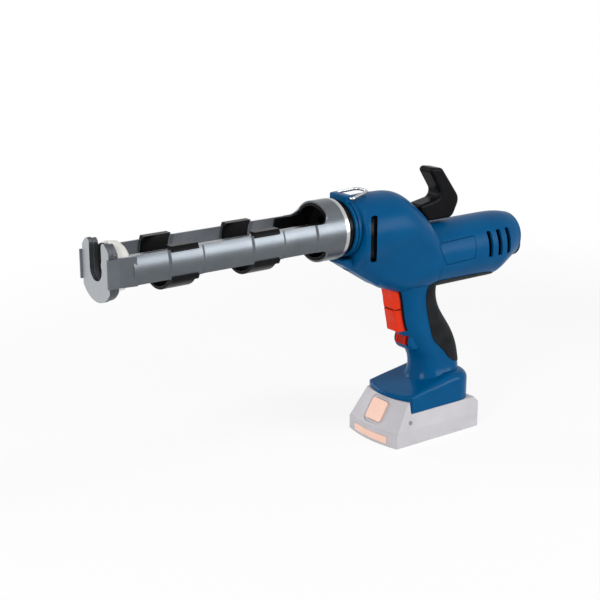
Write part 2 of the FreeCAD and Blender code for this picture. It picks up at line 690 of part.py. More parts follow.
def rack():
    """Push rod with teeth along its underside, a stud for the piston and a plain tail for the hook."""
    tail_x = HOOK_BACK_X + 8.0
    pitch = math.pi * RACK_MODULE
    slope = math.tan(math.radians(PRESSURE_ANGLE))
    low, root = -RACK_HALF_HEIGHT, -RACK_HALF_HEIGHT + 2 * RACK_ADDENDUM + 0.35
    line = -rack_pitch_drop
    half = pitch / 4 - BACKLASH / 4
    tip_half, root_half = half - (line - low) * slope, half + (root - line) * slope
    teeth = int((STROKE + 4 * pinion_pitch_r) / pitch)
    first_x = PINION_X + pitch / 2 - pitch * math.ceil(2 * pinion_pitch_r / pitch)
    outline = [(tail_x, low)]
    outline += [(first_x - pitch + tip_half, low), (first_x - pitch + root_half, root)]
    for n in range(teeth):
        x = first_x + n * pitch
        outline += [(x - root_half, root), (x - tip_half, low), (x + tip_half, low), (x + root_half, root)]
    last_x = first_x + teeth * pitch
    outline += [(last_x - root_half, root), (last_x - tip_half, low), (piston_back_x, low)]
    outline += [(piston_back_x, RACK_HALF_HEIGHT), (tail_x, RACK_HALF_HEIGHT)]
    bar = prism_y([(x, AXIS_Z + z) for x, z in outline], -RACK_HALF_WIDTH, RACK_HALF_WIDTH)
    return join(bar, rod_x(piston_back_x - 1.0, piston_back_x + PISTON_LENGTH / 2, 4.0))


def piston():
    edge, recess = PISTON_EDGE, PISTON_LENGTH / 3
    profile = [
        (piston_back_x, 4.0 + RUNNING_FIT), (piston_back_x, piston_r - 4.0),
        (piston_back_x + 3.0, piston_r - 1.0),
        (piston_front_x - 5.0, piston_r), (piston_front_x - edge, piston_r),
        (piston_front_x, piston_r - edge),
        (piston_front_x, 8.0), (piston_front_x - recess, 8.0), (piston_front_x - recess, 4.0 + RUNNING_FIT),
    ]
    return revolved_x(profile)


def piston_screw():
    seat = piston_front_x - PISTON_LENGTH / 3
    head = rod_x(seat, seat + 3.5, 6.0)
    head = head.cut(rod_x(seat + 1.4, seat + 3.5, 2.6))
    return join(head, rod_x(piston_back_x + PISTON_LENGTH / 2, seat, 4.0))


def pull_hook():
    """Hooked handle on the back end of the rack."""
    back, top = HOOK_BACK_X, HOOK_TOP
    outline = [
        (-6.8, -7.6), (back + 7.0, -7.6), (back - 3.0, 12.0), (back + 22.5, top - 1.0),
        (back + 34.0, top + 0.6),
        (back + 39.8, top - 1.4), (back + 20.5, 16.0), (8.0, 9.8),
    ]
    hook = rounded_prism_y(outline, [3.5, 9.0, 12.0, 6.0, 4.0, 3.5, 7.0, 3.5], HOOK_HALF_WIDTH)
    rims = edges_where(hook, lambda e: e.BoundBox.YLength < 0.01)
    hook = hook.makeFillet(HOOK_FILLET, rims)
    return hook.cut(rack_hole(HOOK_BACK_X + 8.0, 20.0, 0.0))


def bush(x0, x1, half_width, half_height):
    block = box(x0, x1, -half_width, half_width, AXIS_Z - half_height, AXIS_Z + half_height)
    return block.cut(rack_hole(x0, x1, RACK_FIT))


def front_bush():
    x0, x1 = DRUM_FRONT_X - 4.0, collar_ring_back_x
    return rod_x(x0, x1, SPIGOT_BORE_R).cut(rack_hole(x0, x1, RACK_FIT))


def gearbox():
    """Sealed reduction unit: a round planetary case with a small right-angle head."""
    case = join(rod_x(GEARBOX_BACK_X, GEARBOX_STEP_X, GEARBOX_R, motor_z),
                Part.makeCone(GEARBOX_R, GEARBOX_HEAD_R, 8.0, Vector(GEARBOX_STEP_X, 0, motor_z), X_DIR),
                rod_x(GEARBOX_STEP_X + 8.0, GEARBOX_FRONT_X, GEARBOX_HEAD_R, motor_z),
                rod_y(-12.0, GEAR_Y - 0.6, 8.0, PINION_X, motor_z))
    case = case.cut(box(PINION_X - 11.5, FAR / 4, GEAR_Y - 0.6, FAR / 8, motor_z - FAR / 8,
                        motor_z + FAR / 8))
    case = case.cut(rod_y(-11.0, GEAR_Y, OUTPUT_SHAFT_R + RUNNING_FIT, PINION_X, motor_z))
    return case.cut(rod_x(GEARBOX_BACK_X, GEARBOX_BACK_X + 12.0, 7.0, motor_z))


def output_gear():
    gear = spur_gear(GEAR_MODULE, OUTPUT_TEETH, GEAR_MODULE, 1.25 * GEAR_MODULE, PINION_X, motor_z, GEAR_Y,
                     GEAR_Y + GEAR_WIDTH,
                     180.0 / OUTPUT_TEETH)
    return join(gear, rod_y(-10.5, GEAR_Y + 1.0, OUTPUT_SHAFT_R, PINION_X, motor_z))


def pinion_shaft():
    pinion = spur_gear(RACK_MODULE, PINION_TEETH, RACK_ADDENDUM, RACK_ADDENDUM + 0.4, PINION_X, pinion_z,
                       -PINION_WIDTH / 2, PINION_WIDTH / 2, 0.0)
    return join(pinion, rod_y(-SHAFT_HALF_LENGTH, SHAFT_HALF_LENGTH, SHAFT_R, PINION_X, pinion_z))


def drive_gear():
    gear = spur_gear(GEAR_MODULE, DRIVE_TEETH, GEAR_MODULE, 1.25 * GEAR_MODULE, PINION_X, pinion_z, GEAR_Y,
                     GEAR_Y + GEAR_WIDTH, 0.0)
    gear = join(gear, rod_y(GEAR_Y - 2.0, GEAR_Y + GEAR_WIDTH + 1.5, SHAFT_R + 3.5, PINION_X, pinion_z))
    for n in range(5):
        angle = 2 * math.pi * n / 5
        x, z = PINION_X + 14.5 * math.sin(angle), pinion_z + 14.5 * math.cos(angle)
        gear = gear.cut(rod_y(0.0, FAR / 4, 4.0, x, z))
    return gear.cut(rod_y(0.0, FAR / 4, SHAFT_R + 0.02, PINION_X, pinion_z))


def shaft_bearings():
    shapes = []
    for y0 in (SHAFT_HALF_LENGTH - BEARING_WIDTH, -SHAFT_HALF_LENGTH):
        ring = rod_y(y0, y0 + BEARING_WIDTH, BEARING_R, PINION_X, pinion_z)
        shapes.append(ring.cut(rod_y(y0, y0 + BEARING_WIDTH, SHAFT_R + RUNNING_FIT, PINION_X, pinion_z)))
    return Part.Compound(shapes)


def motor_can():
    """Round motor case with a bearing seat in each end."""
    can = tube_x(MOTOR_BACK_X, MOTOR_FRONT_X, MOTOR_R, MOTOR_R - 1.6, motor_z)
    ends = []
    for x in (MOTOR_BACK_X, MOTOR_FRONT_X - 5.0):
        ends.append(tube_x(x, x + 5.0, MOTOR_R - 1.0, 7.0, motor_z))
    return join(can, *ends)


def motor_magnets():
    shapes = []
    inner, outer = ROTOR_R + 0.8, MOTOR_R - 1.7
    ring = tube_x(MOTOR_BACK_X + 9.0, MOTOR_FRONT_X - 9.0, outer, inner, motor_z)
    for side in (1, -1):
        z0, z1 = sorted((motor_z + side * 5.0, motor_z + side * FAR / 4))
        shapes.append(ring.common(box(MOTOR_BACK_X, MOTOR_FRONT_X, -FAR / 4, FAR / 4, z0, z1)))
    return Part.Compound(shapes)


def motor_bearings():
    shapes = []
    for x in (MOTOR_BACK_X, MOTOR_FRONT_X - 5.0):
        shapes.append(tube_x(x, x + 5.0, 7.0, MOTOR_SHAFT_R + RUNNING_FIT, motor_z))
    return Part.Compound(shapes)


def rotor():
    core = rod_x(MOTOR_BACK_X + 10.0, MOTOR_FRONT_X - 10.0, ROTOR_R, motor_z)
    for n in range(6):
        angle = math.pi / 3 * n
        y, z = (ROTOR_R - 2.0) * math.sin(angle), motor_z + (ROTOR_R - 2.0) * math.cos(angle)
        core = core.cut(rod_x(MOTOR_BACK_X, MOTOR_FRONT_X, 2.6, z, y))
    return core.cut(rod_x(MOTOR_BACK_X, MOTOR_FRONT_X, MOTOR_SHAFT_R + 0.02, motor_z))


def motor_shaft():
    return rod_x(MOTOR_BACK_X - 3.0, GEARBOX_BACK_X + 10.0, MOTOR_SHAFT_R, motor_z)


def cooling_fan():
    """Fan wheel between the motor and the gearbox."""
    x0, x1 = MOTOR_FRONT_X + 2.5, GEARBOX_BACK_X - 2.5
    wheel = join(rod_x(x0, x0 + 2.0, FAN_R, motor_z), rod_x(x0, x1, 7.0, motor_z))
    blades = []
    for n in range(FAN_BLADES):
        blade = box(x0 + 1.0, x1, -0.8, 0.8, motor_z + 6.0, motor_z + FAN_R)
        blade.rotate(Vector(0, 0, motor_z), X_DIR, 360.0 * n / FAN_BLADES)
        blades.append(blade)
    return join(wheel, *blades).cut(rod_x(x0, x1, MOTOR_SHAFT_R + 0.02, motor_z))


def trigger():
    """Two-finger trigger with a groove between the fingers."""
    front_top, front_low = TRIGGER_TOP_X, TRIGGER_BOTTOM_X
    mid, mid_x = (TRIGGER_TOP + TRIGGER_BOTTOM) / 2, (front_top + front_low) / 2
    back = SWITCH[1] + TRIGGER_TRAVEL + 0.6
    outline = [
        (back, TRIGGER_TOP), (front_top, TRIGGER_TOP), (front_top - 3.6, mid + 12.0),
        (mid_x + 0.8, mid + 1.6),
        (mid_x - 1.8, mid), (mid_x + 0.6, mid - 1.6), (front_low + 1.4, mid - 14.0),
        (front_low + 0.6, TRIGGER_BOTTOM),
        (back, TRIGGER_BOTTOM),
    ]
    shape = rounded_prism_y(outline, [0, 2.0, 14.0, 1.0, 0.6, 1.0, 14.0, 2.0, 0], TRIGGER_HALF_WIDTH)
    w, low_z = TRIGGER_HALF_WIDTH, AXIS_Z + TRIGGER_BOTTOM
    plan = rounded_face([(-FAR / 8, -w), (front_low + 1.0, -w), (front_low + 1.0, w), (-FAR / 8, w)],
                        [0, 4.0, 4.0, 0],
                        lambda x, y: Vector(x, y, low_z))
    return shape.common(plan.extrude(Vector(front_top - front_low, 0, TRIGGER_TOP - TRIGGER_BOTTOM)))


def trigger_plunger():
    back = SWITCH[1] + TRIGGER_TRAVEL + 0.6
    return rod_x(SWITCH[1] - 4.0, back, 2.5, AXIS_Z - 95.0)


def switch_module():
    x0, x1, y, low, high = SWITCH
    block = box(x0, x1, -y, y, AXIS_Z + low, AXIS_Z + high)
    return block.cut(rod_x(x1 - 14.0, x1, 2.5 + 0.3, AXIS_Z - 95.0))


def lock_slot(gap, half_width):
    z = AXIS_Z + NOSE_DROP + 1.0
    return box(NOSE_X + 3.0, NOSE_X + FAR / 4, -half_width - gap, half_width + gap, z - 4.8 - gap,
               z + 4.8 + gap)


def lock_button():
    block = lock_slot(0.0, LOCK_HALF_WIDTH).common(rod_y(-FAR / 8, FAR / 8, NOSE_R + 0.8, NOSE_X,
                                                         AXIS_Z + NOSE_DROP))
    grooves = []
    for n in (-1, 0, 1):
        grooves.append(box(NOSE_X + NOSE_R - 0.4, NOSE_X + FAR / 4, n * 3.4 - 0.5, n * 3.4 + 0.5, 0, FAR))
    return trim(block, *grooves)


def speed_dial():
    """Ribbed wheel on the back end, with its spindle into the potentiometer."""
    x0, x1 = BARREL_BACK_X - TURN_GAP - DIAL_LENGTH, BARREL_BACK_X - TURN_GAP
    wheel = rod_x(x0, x1, DIAL_R, dial_z)
    wheel = wheel.makeFillet(3.0, edges_where(wheel, lambda e: e.Closed and e.BoundBox.XMax < x0 + 0.1))
    cuts = []
    for n in range(DIAL_RIBS):
        angle = 2 * math.pi * n / DIAL_RIBS
        y, z = (DIAL_R + 0.8) * math.sin(angle), dial_z + (DIAL_R + 0.8) * math.cos(angle)
        cuts.append(rod_x(x0 + 3.0, x1 - 1.5, 1.5, z, y))
    wheel = trim(wheel, *cuts)
    return join(wheel, rod_x(x1 - 1.0, BARREL_BACK_X + 12.0, 3.0, dial_z))


def dial_pot():
    x0 = BARREL_BACK_X + WALL
    body = join(rod_x(x0 + 1.0, x0 + 11.0, 8.0, dial_z), rod_x(x0, x0 + 1.0, 5.0, dial_z))
    return body.cut(rod_x(x0, x0 + 10.0, 3.0 + RUNNING_FIT, dial_z))


def hanger_lug():
    x0, x1 = NECK_FRONT_X - LUG_LENGTH, NECK_FRONT_X
    lug = box(x0, x1, -LUG_HALF_WIDTH, LUG_HALF_WIDTH, AXIS_Z + 20.0, AXIS_Z + LUG_TOP)
    lug = lug.makeFillet(1.5, edges_where(lug, lambda e: e.BoundBox.ZMin > AXIS_Z + LUG_TOP - 0.1))
    lug = lug.cut(rod_x(x0, x1, NECK_R + 0.1))
    return lug.cut(rod_y(-FAR / 8, FAR / 8, RING_WIRE_R + 0.1, ring_hinge_x, ring_hinge_z))


def hanging_ring():
    """Bent wire whose two ends turn in the lug."""
    def place(u, v):
        return Vector(ring_hinge_x - u, v, ring_hinge_z)

    w, tip, length, end = RING_HALF_WIDTH, RING_TIP_HALF_WIDTH, RING_LENGTH, LUG_HALF_WIDTH - 6.0
    path = [(0, end), (0, w), (length, tip), (length, -tip), (0, -w), (0, -end)]
    wire = Part.Wire(rounded_edges(path, [0, 2.4, 7.0, 7.0, 2.4, 0], place, False))
    circle = Part.Wire(Part.makeCircle(RING_WIRE_R, place(0, end), Y_DIR))
    ring = wire.makePipeShell([circle], True, True)
    return turned(ring, RING_PITCH_DEG, ring_hinge_x, ring_hinge_z)


def screw_bosses():
    return [rod_y(-FAR / 8, FAR / 8, SCREW_BOSS_R, x, AXIS_Z + z) for x, z, seat in SCREWS]


def housing_screws():
    shapes = []
    for x, z, seat in SCREWS:
        head = rod_y(-seat - 2.4, -seat, SCREW_HEAD_R - 0.3, x, AXIS_Z + z)
        head = head.cut(rod_y(-seat - 2.4, -seat - 1.0, 1.3, x, AXIS_Z + z))
        shapes.append(join(head, rod_y(-seat, 8.0, SCREW_R, x, AXIS_Z + z)))
    return Part.Compound(shapes)


def screw_holes():
    cuts = []
    for x, z, seat in SCREWS:
        cuts.append(rod_y(-seat, 8.6, SCREW_R + 0.05, x, AXIS_Z + z))
        cuts.append(rod_y(-FAR / 8, -seat, SCREW_HEAD_R, x, AXIS_Z + z))
    return cuts


def round_back(block, r):
    """A block with its two upright back edges rounded."""
    x = block.BoundBox.XMin + 0.1
    return block.makeFillet(r, edges_where(block,
                                           lambda e: e.BoundBox.XMax < x and e.BoundBox.YLength < 0.1))


def foot_hollow():
    """Battery channel with its rail ledges, the room in front of it and the space for the board above."""
    low, roof = 0.0, channel_top_z
    w = CHANNEL_HALF_WIDTH
    back = FOOT_BACK_X + 5.0
    channel = round_back(box(back, FAR / 4, -w, w, low, roof), CHANNEL_CORNER_R)
    for side in (1, -1):
        y0, y1 = sorted((side * (w - RAIL_IN), side * w))
        channel = channel.cut(box(back, FOOT_CORNER_X - 9.0, y0, y1, RAIL_LOW_Z, RAIL_HIGH_Z))
    head = box(FOOT_CORNER_X - 8.0, FAR / 4, -FOOT_HALF_WIDTH + WALL, FOOT_HALF_WIDTH - WALL, low, roof)
    room_y = FOOT_HALF_WIDTH - 5.0
    room = round_back(box(back, -5.0, -room_y, room_y, roof + WALL, roof + WALL + 8.0), FOOT_BACK_R - 10.0)
    well = box(-46.0, -12.0, -13.0, 13.0, roof + WALL, FOOT_TOP_Z)
    pocket = box(-31.0, -9.0, -20.0, 20.0, roof - 1.0, roof + WALL + 1.0)
    return [channel, head, room, well, pocket]


def vents():
    cuts = []
    z_mid = motor_z + VENT_RISE
    for n in range(3):
        x = VENT_X - n * VENT_PITCH
        slot = box(x - VENT_WIDTH / 2, x + VENT_WIDTH / 2, -FAR / 8, FAR / 8, z_mid - VENT_HEIGHT / 2,
                   z_mid + VENT_HEIGHT / 2)
        slot = slot.makeFillet(1.6, edges_where(slot, lambda e: e.BoundBox.YLength > 10.0))
        cuts.append(slot)
    half, low, high = FRONT_SLOT_WIDTH / 2, AXIS_Z + FRONT_SLOT_BOTTOM, AXIS_Z + FRONT_SLOT_TOP
    for side in (1, -1):
        y0, y1 = sorted((-side * 18.0, side * 12.0))
        slot = box(FRONT_SLOT_X - half, FRONT_SLOT_X + half, FRONT_SLOT_Y + y0, FRONT_SLOT_Y + y1, low,
                   high)
        slot = slot.makeFillet(2.2, edges_where(slot, lambda e: e.BoundBox.YLength > 10.0))
        slot.translate(Vector(0, (side - 1) * FRONT_SLOT_Y, 0))
        slot.rotate(Vector(FRONT_SLOT_X, side * FRONT_SLOT_Y, 0), Z_DIR, -side * FRONT_SLOT_TURN)
        cuts.append(slot)
    return cuts


def shell_ribs():
    """Ribs and seats in the housing for the motor, the gearbox, the bush, the bearings and the switch."""
    inside = body_form(GRIP_DEPTH + 0.2)

    def slab(x0, x1, *holes):
        return trim(inside.common(box(x0, x1, -FAR / 8, FAR / 8, 0, FAR)), *holes)

    motor_hole = rod_x(-FAR / 2, FAR / 2, MOTOR_R + 0.05, motor_z)
    gearbox_hole = rod_x(-FAR / 2, FAR / 2, GEARBOX_R + 0.05, motor_z)
    corridor = rack_hole(-FAR / 4, FAR / 4, 0.8)
    bush_hole = box(-FAR / 4, FAR / 4, -REAR_BUSH_HALF, REAR_BUSH_HALF, AXIS_Z - REAR_BUSH_HALF,
                    AXIS_Z + REAR_BUSH_HALF)
    handle_way = box(-FAR / 4, FAR / 4, -11.0, 11.0, 0, AXIS_Z - 70.0)
    ribs = [slab(x, x + 3.0, motor_hole) for x in (MOTOR_BACK_X + 8.0, MOTOR_FRONT_X - 11.0)]
    ribs.append(slab(-12.0, -9.0, gearbox_hole, corridor, handle_way))
    ribs.append(slab(REAR_BUSH_X + 2.0, REAR_BUSH_X + 6.0, gearbox_hole, bush_hole, handle_way))
    for side in (1, -1):
        y0, y1 = sorted((side * (SHAFT_HALF_LENGTH - BEARING_WIDTH), side * FAR / 8))
        seat = rod_y(y0, y1, BEARING_R + 3.0, PINION_X, pinion_z)
        y0, y1 = sorted((side * (SHAFT_HALF_LENGTH - BEARING_WIDTH), side * (SHAFT_HALF_LENGTH + 0.2)))
        ribs.append(seat.common(inside).cut(rod_y(y0, y1, BEARING_R, PINION_X, pinion_z)))
        y0, y1 = sorted((side * SWITCH[2], side * (HANDLE_HALF_WIDTH - WALL + 0.3)))
        ribs.append(box(-6.0, 1.0, y0, y1, AXIS_Z - 102.0, AXIS_Z - 88.0))
    pot = box(BARREL_BACK_X + WALL + 3.0, BARREL_BACK_X + WALL + 8.0, -FAR / 8, FAR / 8, motor_z - 12.0,
              dial_z)
    ribs.append(pot.common(barrel_form(1.0)).cut(rod_x(-FAR / 2, 0, 8.0, dial_z)))
    return ribs


def housing():
    """Both halves of the housing and of the rubber grip: left shell, right shell, left grip, right grip."""
    outer = join(skin(0.0), foot_form(), ankle_form(), neck_form(), nose_form(), chin_form())
    hollow = skin(WALL)
    zone = grip_zone(0.0)
    deep = skin(GRIP_DEPTH)
    grip = skin(-GRIP_PROUD).common(zone).cut(deep)
    clear_of_foot = box(-FAR / 2, FAR / 2, -FAR / 8, FAR / 8, FOOT_TOP_Z + 4.0, FAR)
    grip = grip.common(clear_of_foot)
    grip_seat = outer.common(zone).common(clear_of_foot).cut(deep)
    shell = outer.cut(hollow).cut(grip_seat)
    inside = skin(GRIP_DEPTH + 0.2)
    bosses = [b.common(inside) for b in screw_bosses()]
    shell = join(shell, *bosses, *shell_ribs())
    trigger_y, trigger_low = TRIGGER_HALF_WIDTH + TRIGGER_GAP, AXIS_Z + TRIGGER_BOTTOM - TRIGGER_GAP
    openings = [
        rod_x(DRUM_FRONT_X - WALL - 0.5, DRUM_FRONT_X + 1.0, SPIGOT_SHANK_R),
        rod_x(DRUM_FRONT_X, FAR / 2, SPIGOT_R),
        rack_hole(-FAR / 4, 40.0, 0.8),
        box(10.0, FAR / 4, -trigger_y, trigger_y, trigger_low, AXIS_Z + TRIGGER_TOP + TRIGGER_GAP),
        lock_slot(0.3, LOCK_HALF_WIDTH + LOCK_TRAVEL),
        rod_x(-FAR / 2, BARREL_BACK_X + WALL, 3.0 + 0.4, dial_z),
    ]
    shell = trim(shell, *openings, *foot_hollow(), *vents(), *screw_holes())
    halves = []
    for shape in (shell, grip):
        for y0, y1 in ((0.0, FAR / 4), (-FAR / 4, 0.0)):
            halves.append(shape.common(box(-FAR, FAR, y0, y1, 0, FAR)))
    return halves


def biggest(shape):
    return max(shape.Solids, key=lambda s: s.Volume)


def control_board():
    x0, x1, y = FOOT_BACK_X + 6.0, -33.0, 20.0
    board = box(x0, x1, -y, y, board_z, board_z + 1.6)
    parts = [box(x0 + 3.0, x0 + 9.0, -18.0, -6.0, board_z + 1.0, board_z + 5.0),
             box(x0 + 3.0, x0 + 11.0, 4.0, 16.0, board_z + 1.0, board_z + 6.0)]
    return join(board, *parts)


def terminal_block():
    block = box(-31.0, -9.0, -20.0, 20.0, channel_top_z, board_z + 1.0)
    block = join(block, box(-29.0, -11.0, -18.0, 18.0, board_z, board_z + 6.0))
    for y in BLADE_Y:
        block = block.cut(box(-26.0, -14.0, y - 0.5, y + 0.5, channel_top_z, board_z + 5.0))
    return block


def terminal_blades():
    return Part.Compound([box(-26.0, -14.0, y - 0.5, y + 0.5, channel_top_z - 6.0,
                              board_z + 5.0) for y in BLADE_Y])


def battery_plan(front, corner, half_width, back, z):
    """Outline with a bowed front, as a wire at height z."""
    a, b = Vector(corner, half_width, z), Vector(corner, -half_width, z)
    c, d = Vector(back, -half_width, z), Vector(back, half_width, z)
    edges = [Part.Arc(a, Vector(front, 0, z), b).toShape(), Part.LineSegment(b, c).toShape(),
             Part.LineSegment(c, d).toShape(),
             Part.LineSegment(d, a).toShape()]
    return Part.Wire(edges)


def battery_form():
    """Outside of the battery: base, slanted head at the front and the rail tower on top."""
    w, back = BATTERY_HALF_WIDTH, BATTERY_BACK_X
    bow = BATTERY_FRONT_X - BATTERY_CORNER_X
    plan = Part.Face(battery_plan(BATTERY_FRONT_X, BATTERY_CORNER_X, w, back, 0.0))
    lower = plan.extrude(Vector(0, 0, BATTERY_SHOULDER_Z))
    lower = round_back(lower, BATTERY_CORNER_R)
    top, slant = BATTERY_SHOULDER_Z, BATTERY_SLANT
    lower = lower.cut(prism_y([(back, top - slant), (back + slant, top), (back, top)], -w, w))
    head_back = FOOT_CORNER_X - 7.5
    slope = Part.makeLoft([battery_plan(BATTERY_FRONT_X, BATTERY_CORNER_X, w, head_back, BATTERY_SLOPE_Z),
                           battery_plan(BATTERY_HEAD_X, BATTERY_HEAD_X - bow, BATTERY_HEAD_HALF_WIDTH,
                                        head_back, BATTERY_HEAD_Z)], True, True)
    keep = box(back, BATTERY_FRONT_X + 1.0, -w, w, 0.0, BATTERY_SLOPE_Z)
    lower = join(lower.common(keep),
                 lower.common(box(back, head_back, -w, w, BATTERY_SLOPE_Z, BATTERY_HEAD_Z)), slope)
    skirt_way = []
    for side in (1, -1):
        y0, y1 = sorted((side * (FOOT_HALF_WIDTH - WALL - BATTERY_GAP), side * FAR / 8))
        skirt_way.append(box(0.0, FOOT_CORNER_X + 2.4, y0, y1, BATTERY_SHOULDER_Z, FAR / 4))
    for side in (1, -1):
        beyond = side * (w + 1.0)
        wedge = [(side * w, BATTERY_SLOPE_Z), (beyond, BATTERY_SLOPE_Z), (beyond, BATTERY_HEAD_Z),
                 (side * BATTERY_HEAD_HALF_WIDTH, BATTERY_HEAD_Z)]
        skirt_way.append(prism_x(wedge, back - 1.0, BATTERY_FRONT_X + 1.0))
    lower = trim(lower, *skirt_way)
    tower_w = CHANNEL_HALF_WIDTH - BATTERY_GAP
    tower_top = channel_top_z - BATTERY_GAP
    tower = box(FOOT_BACK_X + 8.0, head_back + 1.0, -tower_w, tower_w, BATTERY_SHOULDER_Z - 1.0, tower_top)
    tower = round_back(tower, CHANNEL_CORNER_R)
    for side in (1, -1):
        y0, y1 = sorted((side * (CHANNEL_HALF_WIDTH - RAIL_IN - BATTERY_GAP), side * FAR / 8))
        tower = tower.cut(box(-FAR / 4, FOOT_CORNER_X - 9.0 + BATTERY_GAP, y0, y1, RAIL_LOW_Z - BATTERY_GAP,
                              RAIL_HIGH_Z + BATTERY_GAP))
    for y in BLADE_Y:
        tower = tower.cut(box(-FAR / 4, -12.0, y - 1.6, y + 1.6, channel_top_z - 7.0, FAR / 4))
    return join(lower, tower)


def slope_block(size, inward, outward, corner_r):
    """Rounded block lying on the battery's slanted face, from inward under it to outward above it."""
    half = size / 2
    block = box(slope_mid_x - inward, slope_mid_x + outward, -half, half, BUTTON_Z - half, BUTTON_Z + half)
    block = block.makeFillet(corner_r, edges_where(block, lambda e: e.BoundBox.XLength > inward))
    return turned(block, -slope_tilt, slope_mid_x, BUTTON_Z)


def battery_parts():
    """Case, cover and bumper of the battery."""
    form = battery_form()
    bumper_low, bumper_high, bumper_y = 3.0, 10.5, 26.0
    strip = box(BATTERY_HEAD_X, BATTERY_FRONT_X + 5.0, -bumper_y, bumper_y, bumper_low, bumper_high)

    def bowed(grow):
        wire = battery_plan(BATTERY_FRONT_X + grow, BATTERY_CORNER_X + grow, BATTERY_HALF_WIDTH, 0.0, 0.0)
        return Part.Face(wire).extrude(Vector(0, 0, FAR / 4))

    bumper = strip.common(bowed(0.5)).cut(bowed(-1.4))
    x0, x1, y = BATTERY_BACK_X + BATTERY_WALL, 49.3, CELL_LENGTH / 2 + 0.5
    low_room = round_back(box(x0, x1, -y, y, BATTERY_WALL, BATTERY_SEAM_Z), BATTERY_ROOM_R)
    middles = [CELL_BACK_X + n * CELL_PITCH for n in range(CELL_COUNT)]
    high_room = join(*[rod_y(-y, y, CELL_R + 0.4, x, CELL_Z) for x in middles])
    low_half = box(-FAR, FAR, -FAR, FAR, 0.0, BATTERY_SEAM_Z)
    case = trim(form.common(low_half), low_room, strip.cut(bowed(-1.4)))
    trough = slope_block(BUTTON_SIZE + 7.0, BATTERY_TROUGH, 20.0, 7.0)
    button_way = slope_block(BUTTON_SIZE + 0.6, BUTTON_THICK + BUTTON_TRAVEL, 20.0, 3.3)
    cover = trim(form.cut(low_half), high_room, trough, button_way)
    return case, cover, bumper


def battery_button():
    return slope_block(BUTTON_SIZE, BUTTON_THICK - BUTTON_PROUD, BUTTON_PROUD, 3.0)


def battery_cells():
    half = CELL_LENGTH / 2
    return Part.Compound([rod_y(-half, half, CELL_R, CELL_BACK_X + n * CELL_PITCH,
                                CELL_Z) for n in range(CELL_COUNT)])


def battery_contacts():
    low = channel_top_z - 7.0
    return Part.Compound([box(-30.0, -13.0, y + s * 1.3 - 0.25, y + s * 1.3 + 0.25, low,
                              low + 5.5) for y in BLADE_Y for s in (1, -1)])


def save(name, shape):
    shape.exportStep("parts/%s.step" % name)


os.makedirs("parts", exist_ok=True)
left_shell, right_shell, left_grip, right_grip = housing()
battery_case, battery_cover, battery_bumper = battery_parts()
front_plate_back_x = PLATE_FRONT_X - PLATE_THICK
nodes = {
    "left_shell": biggest(left_shell), "right_shell": biggest(right_shell), "left_grip": biggest(left_grip),
    "right_grip": biggest(right_grip),
    "cradle_tube": cradle_tube(), "collar_ring": tube_x(collar_ring_back_x, COLLAR_BACK_X, raised_outer_r,
                                                        SPIGOT_R + RUNNING_FIT),
    "front_plate": nozzle_plate(front_plate_back_x, PLATE_FRONT_X, PLATE_R),
    "backing_plate": nozzle_plate(backing_back_x, front_plate_back_x - PLATE_SEAM, BACKING_R),
    "front_saddle": saddle(SADDLE_FRONT_X), "rear_saddle": saddle(SADDLE_REAR_X),
    "collar_liner": collar_liner(),
    "front_spigot": front_spigot(), "rack": rack(), "piston": piston(), "piston_screw": piston_screw(),
    "pull_hook": pull_hook(),
    "front_bush": front_bush(), "rear_bush": bush(REAR_BUSH_X, REAR_BUSH_X + REAR_BUSH_LENGTH,
                                                  REAR_BUSH_HALF, REAR_BUSH_HALF),
    "gearbox": gearbox(), "output_gear": output_gear(), "pinion_shaft": pinion_shaft(),
    "drive_gear": drive_gear(),
    "shaft_bearings": shaft_bearings(), "motor_can": motor_can(), "motor_magnets": motor_magnets(),
    "motor_bearings": motor_bearings(),
    "rotor": rotor(), "motor_shaft": motor_shaft(), "cooling_fan": cooling_fan(), "trigger": trigger(),
    "trigger_plunger": trigger_plunger(),
    "switch_module": switch_module(), "lock_button": lock_button(), "speed_dial": speed_dial(),
    "dial_pot": dial_pot(),
    "hanger_lug": hanger_lug(), "hanging_ring": hanging_ring(), "housing_screws": housing_screws(),
    "control_board": control_board(),
    "terminal_block": terminal_block(), "terminal_blades": terminal_blades(), "battery_case": battery_case,
    "battery_cover": battery_cover,
    "battery_bumper": battery_bumper, "battery_button": battery_button(), "battery_cells": battery_cells(),
    "battery_contacts": battery_contacts(),
}
for name, shape in nodes.items():
    save(name, shape)
    print(name, shape.isValid(), len(shape.Solids), round(shape.Volume))
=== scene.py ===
import json
import math

import bmesh
import bpy
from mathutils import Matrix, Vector
from mathutils.bvhtree import BVHTree


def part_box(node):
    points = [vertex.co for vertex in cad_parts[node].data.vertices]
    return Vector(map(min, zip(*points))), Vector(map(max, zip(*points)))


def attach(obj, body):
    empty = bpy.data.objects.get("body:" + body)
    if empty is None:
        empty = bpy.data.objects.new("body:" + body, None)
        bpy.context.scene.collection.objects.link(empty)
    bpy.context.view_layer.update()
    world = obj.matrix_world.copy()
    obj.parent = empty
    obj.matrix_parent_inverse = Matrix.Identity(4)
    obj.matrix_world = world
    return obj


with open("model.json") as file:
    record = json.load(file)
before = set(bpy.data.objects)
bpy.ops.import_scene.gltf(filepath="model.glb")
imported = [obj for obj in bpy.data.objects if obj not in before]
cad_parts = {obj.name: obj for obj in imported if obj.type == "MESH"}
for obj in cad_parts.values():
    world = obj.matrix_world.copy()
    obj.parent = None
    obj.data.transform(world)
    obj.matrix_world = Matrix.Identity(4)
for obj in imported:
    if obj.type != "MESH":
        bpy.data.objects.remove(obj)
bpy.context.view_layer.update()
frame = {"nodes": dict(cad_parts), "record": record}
nodes = frame["nodes"]
scene = bpy.context.scene
scene.view_settings.view_transform = "Standard"

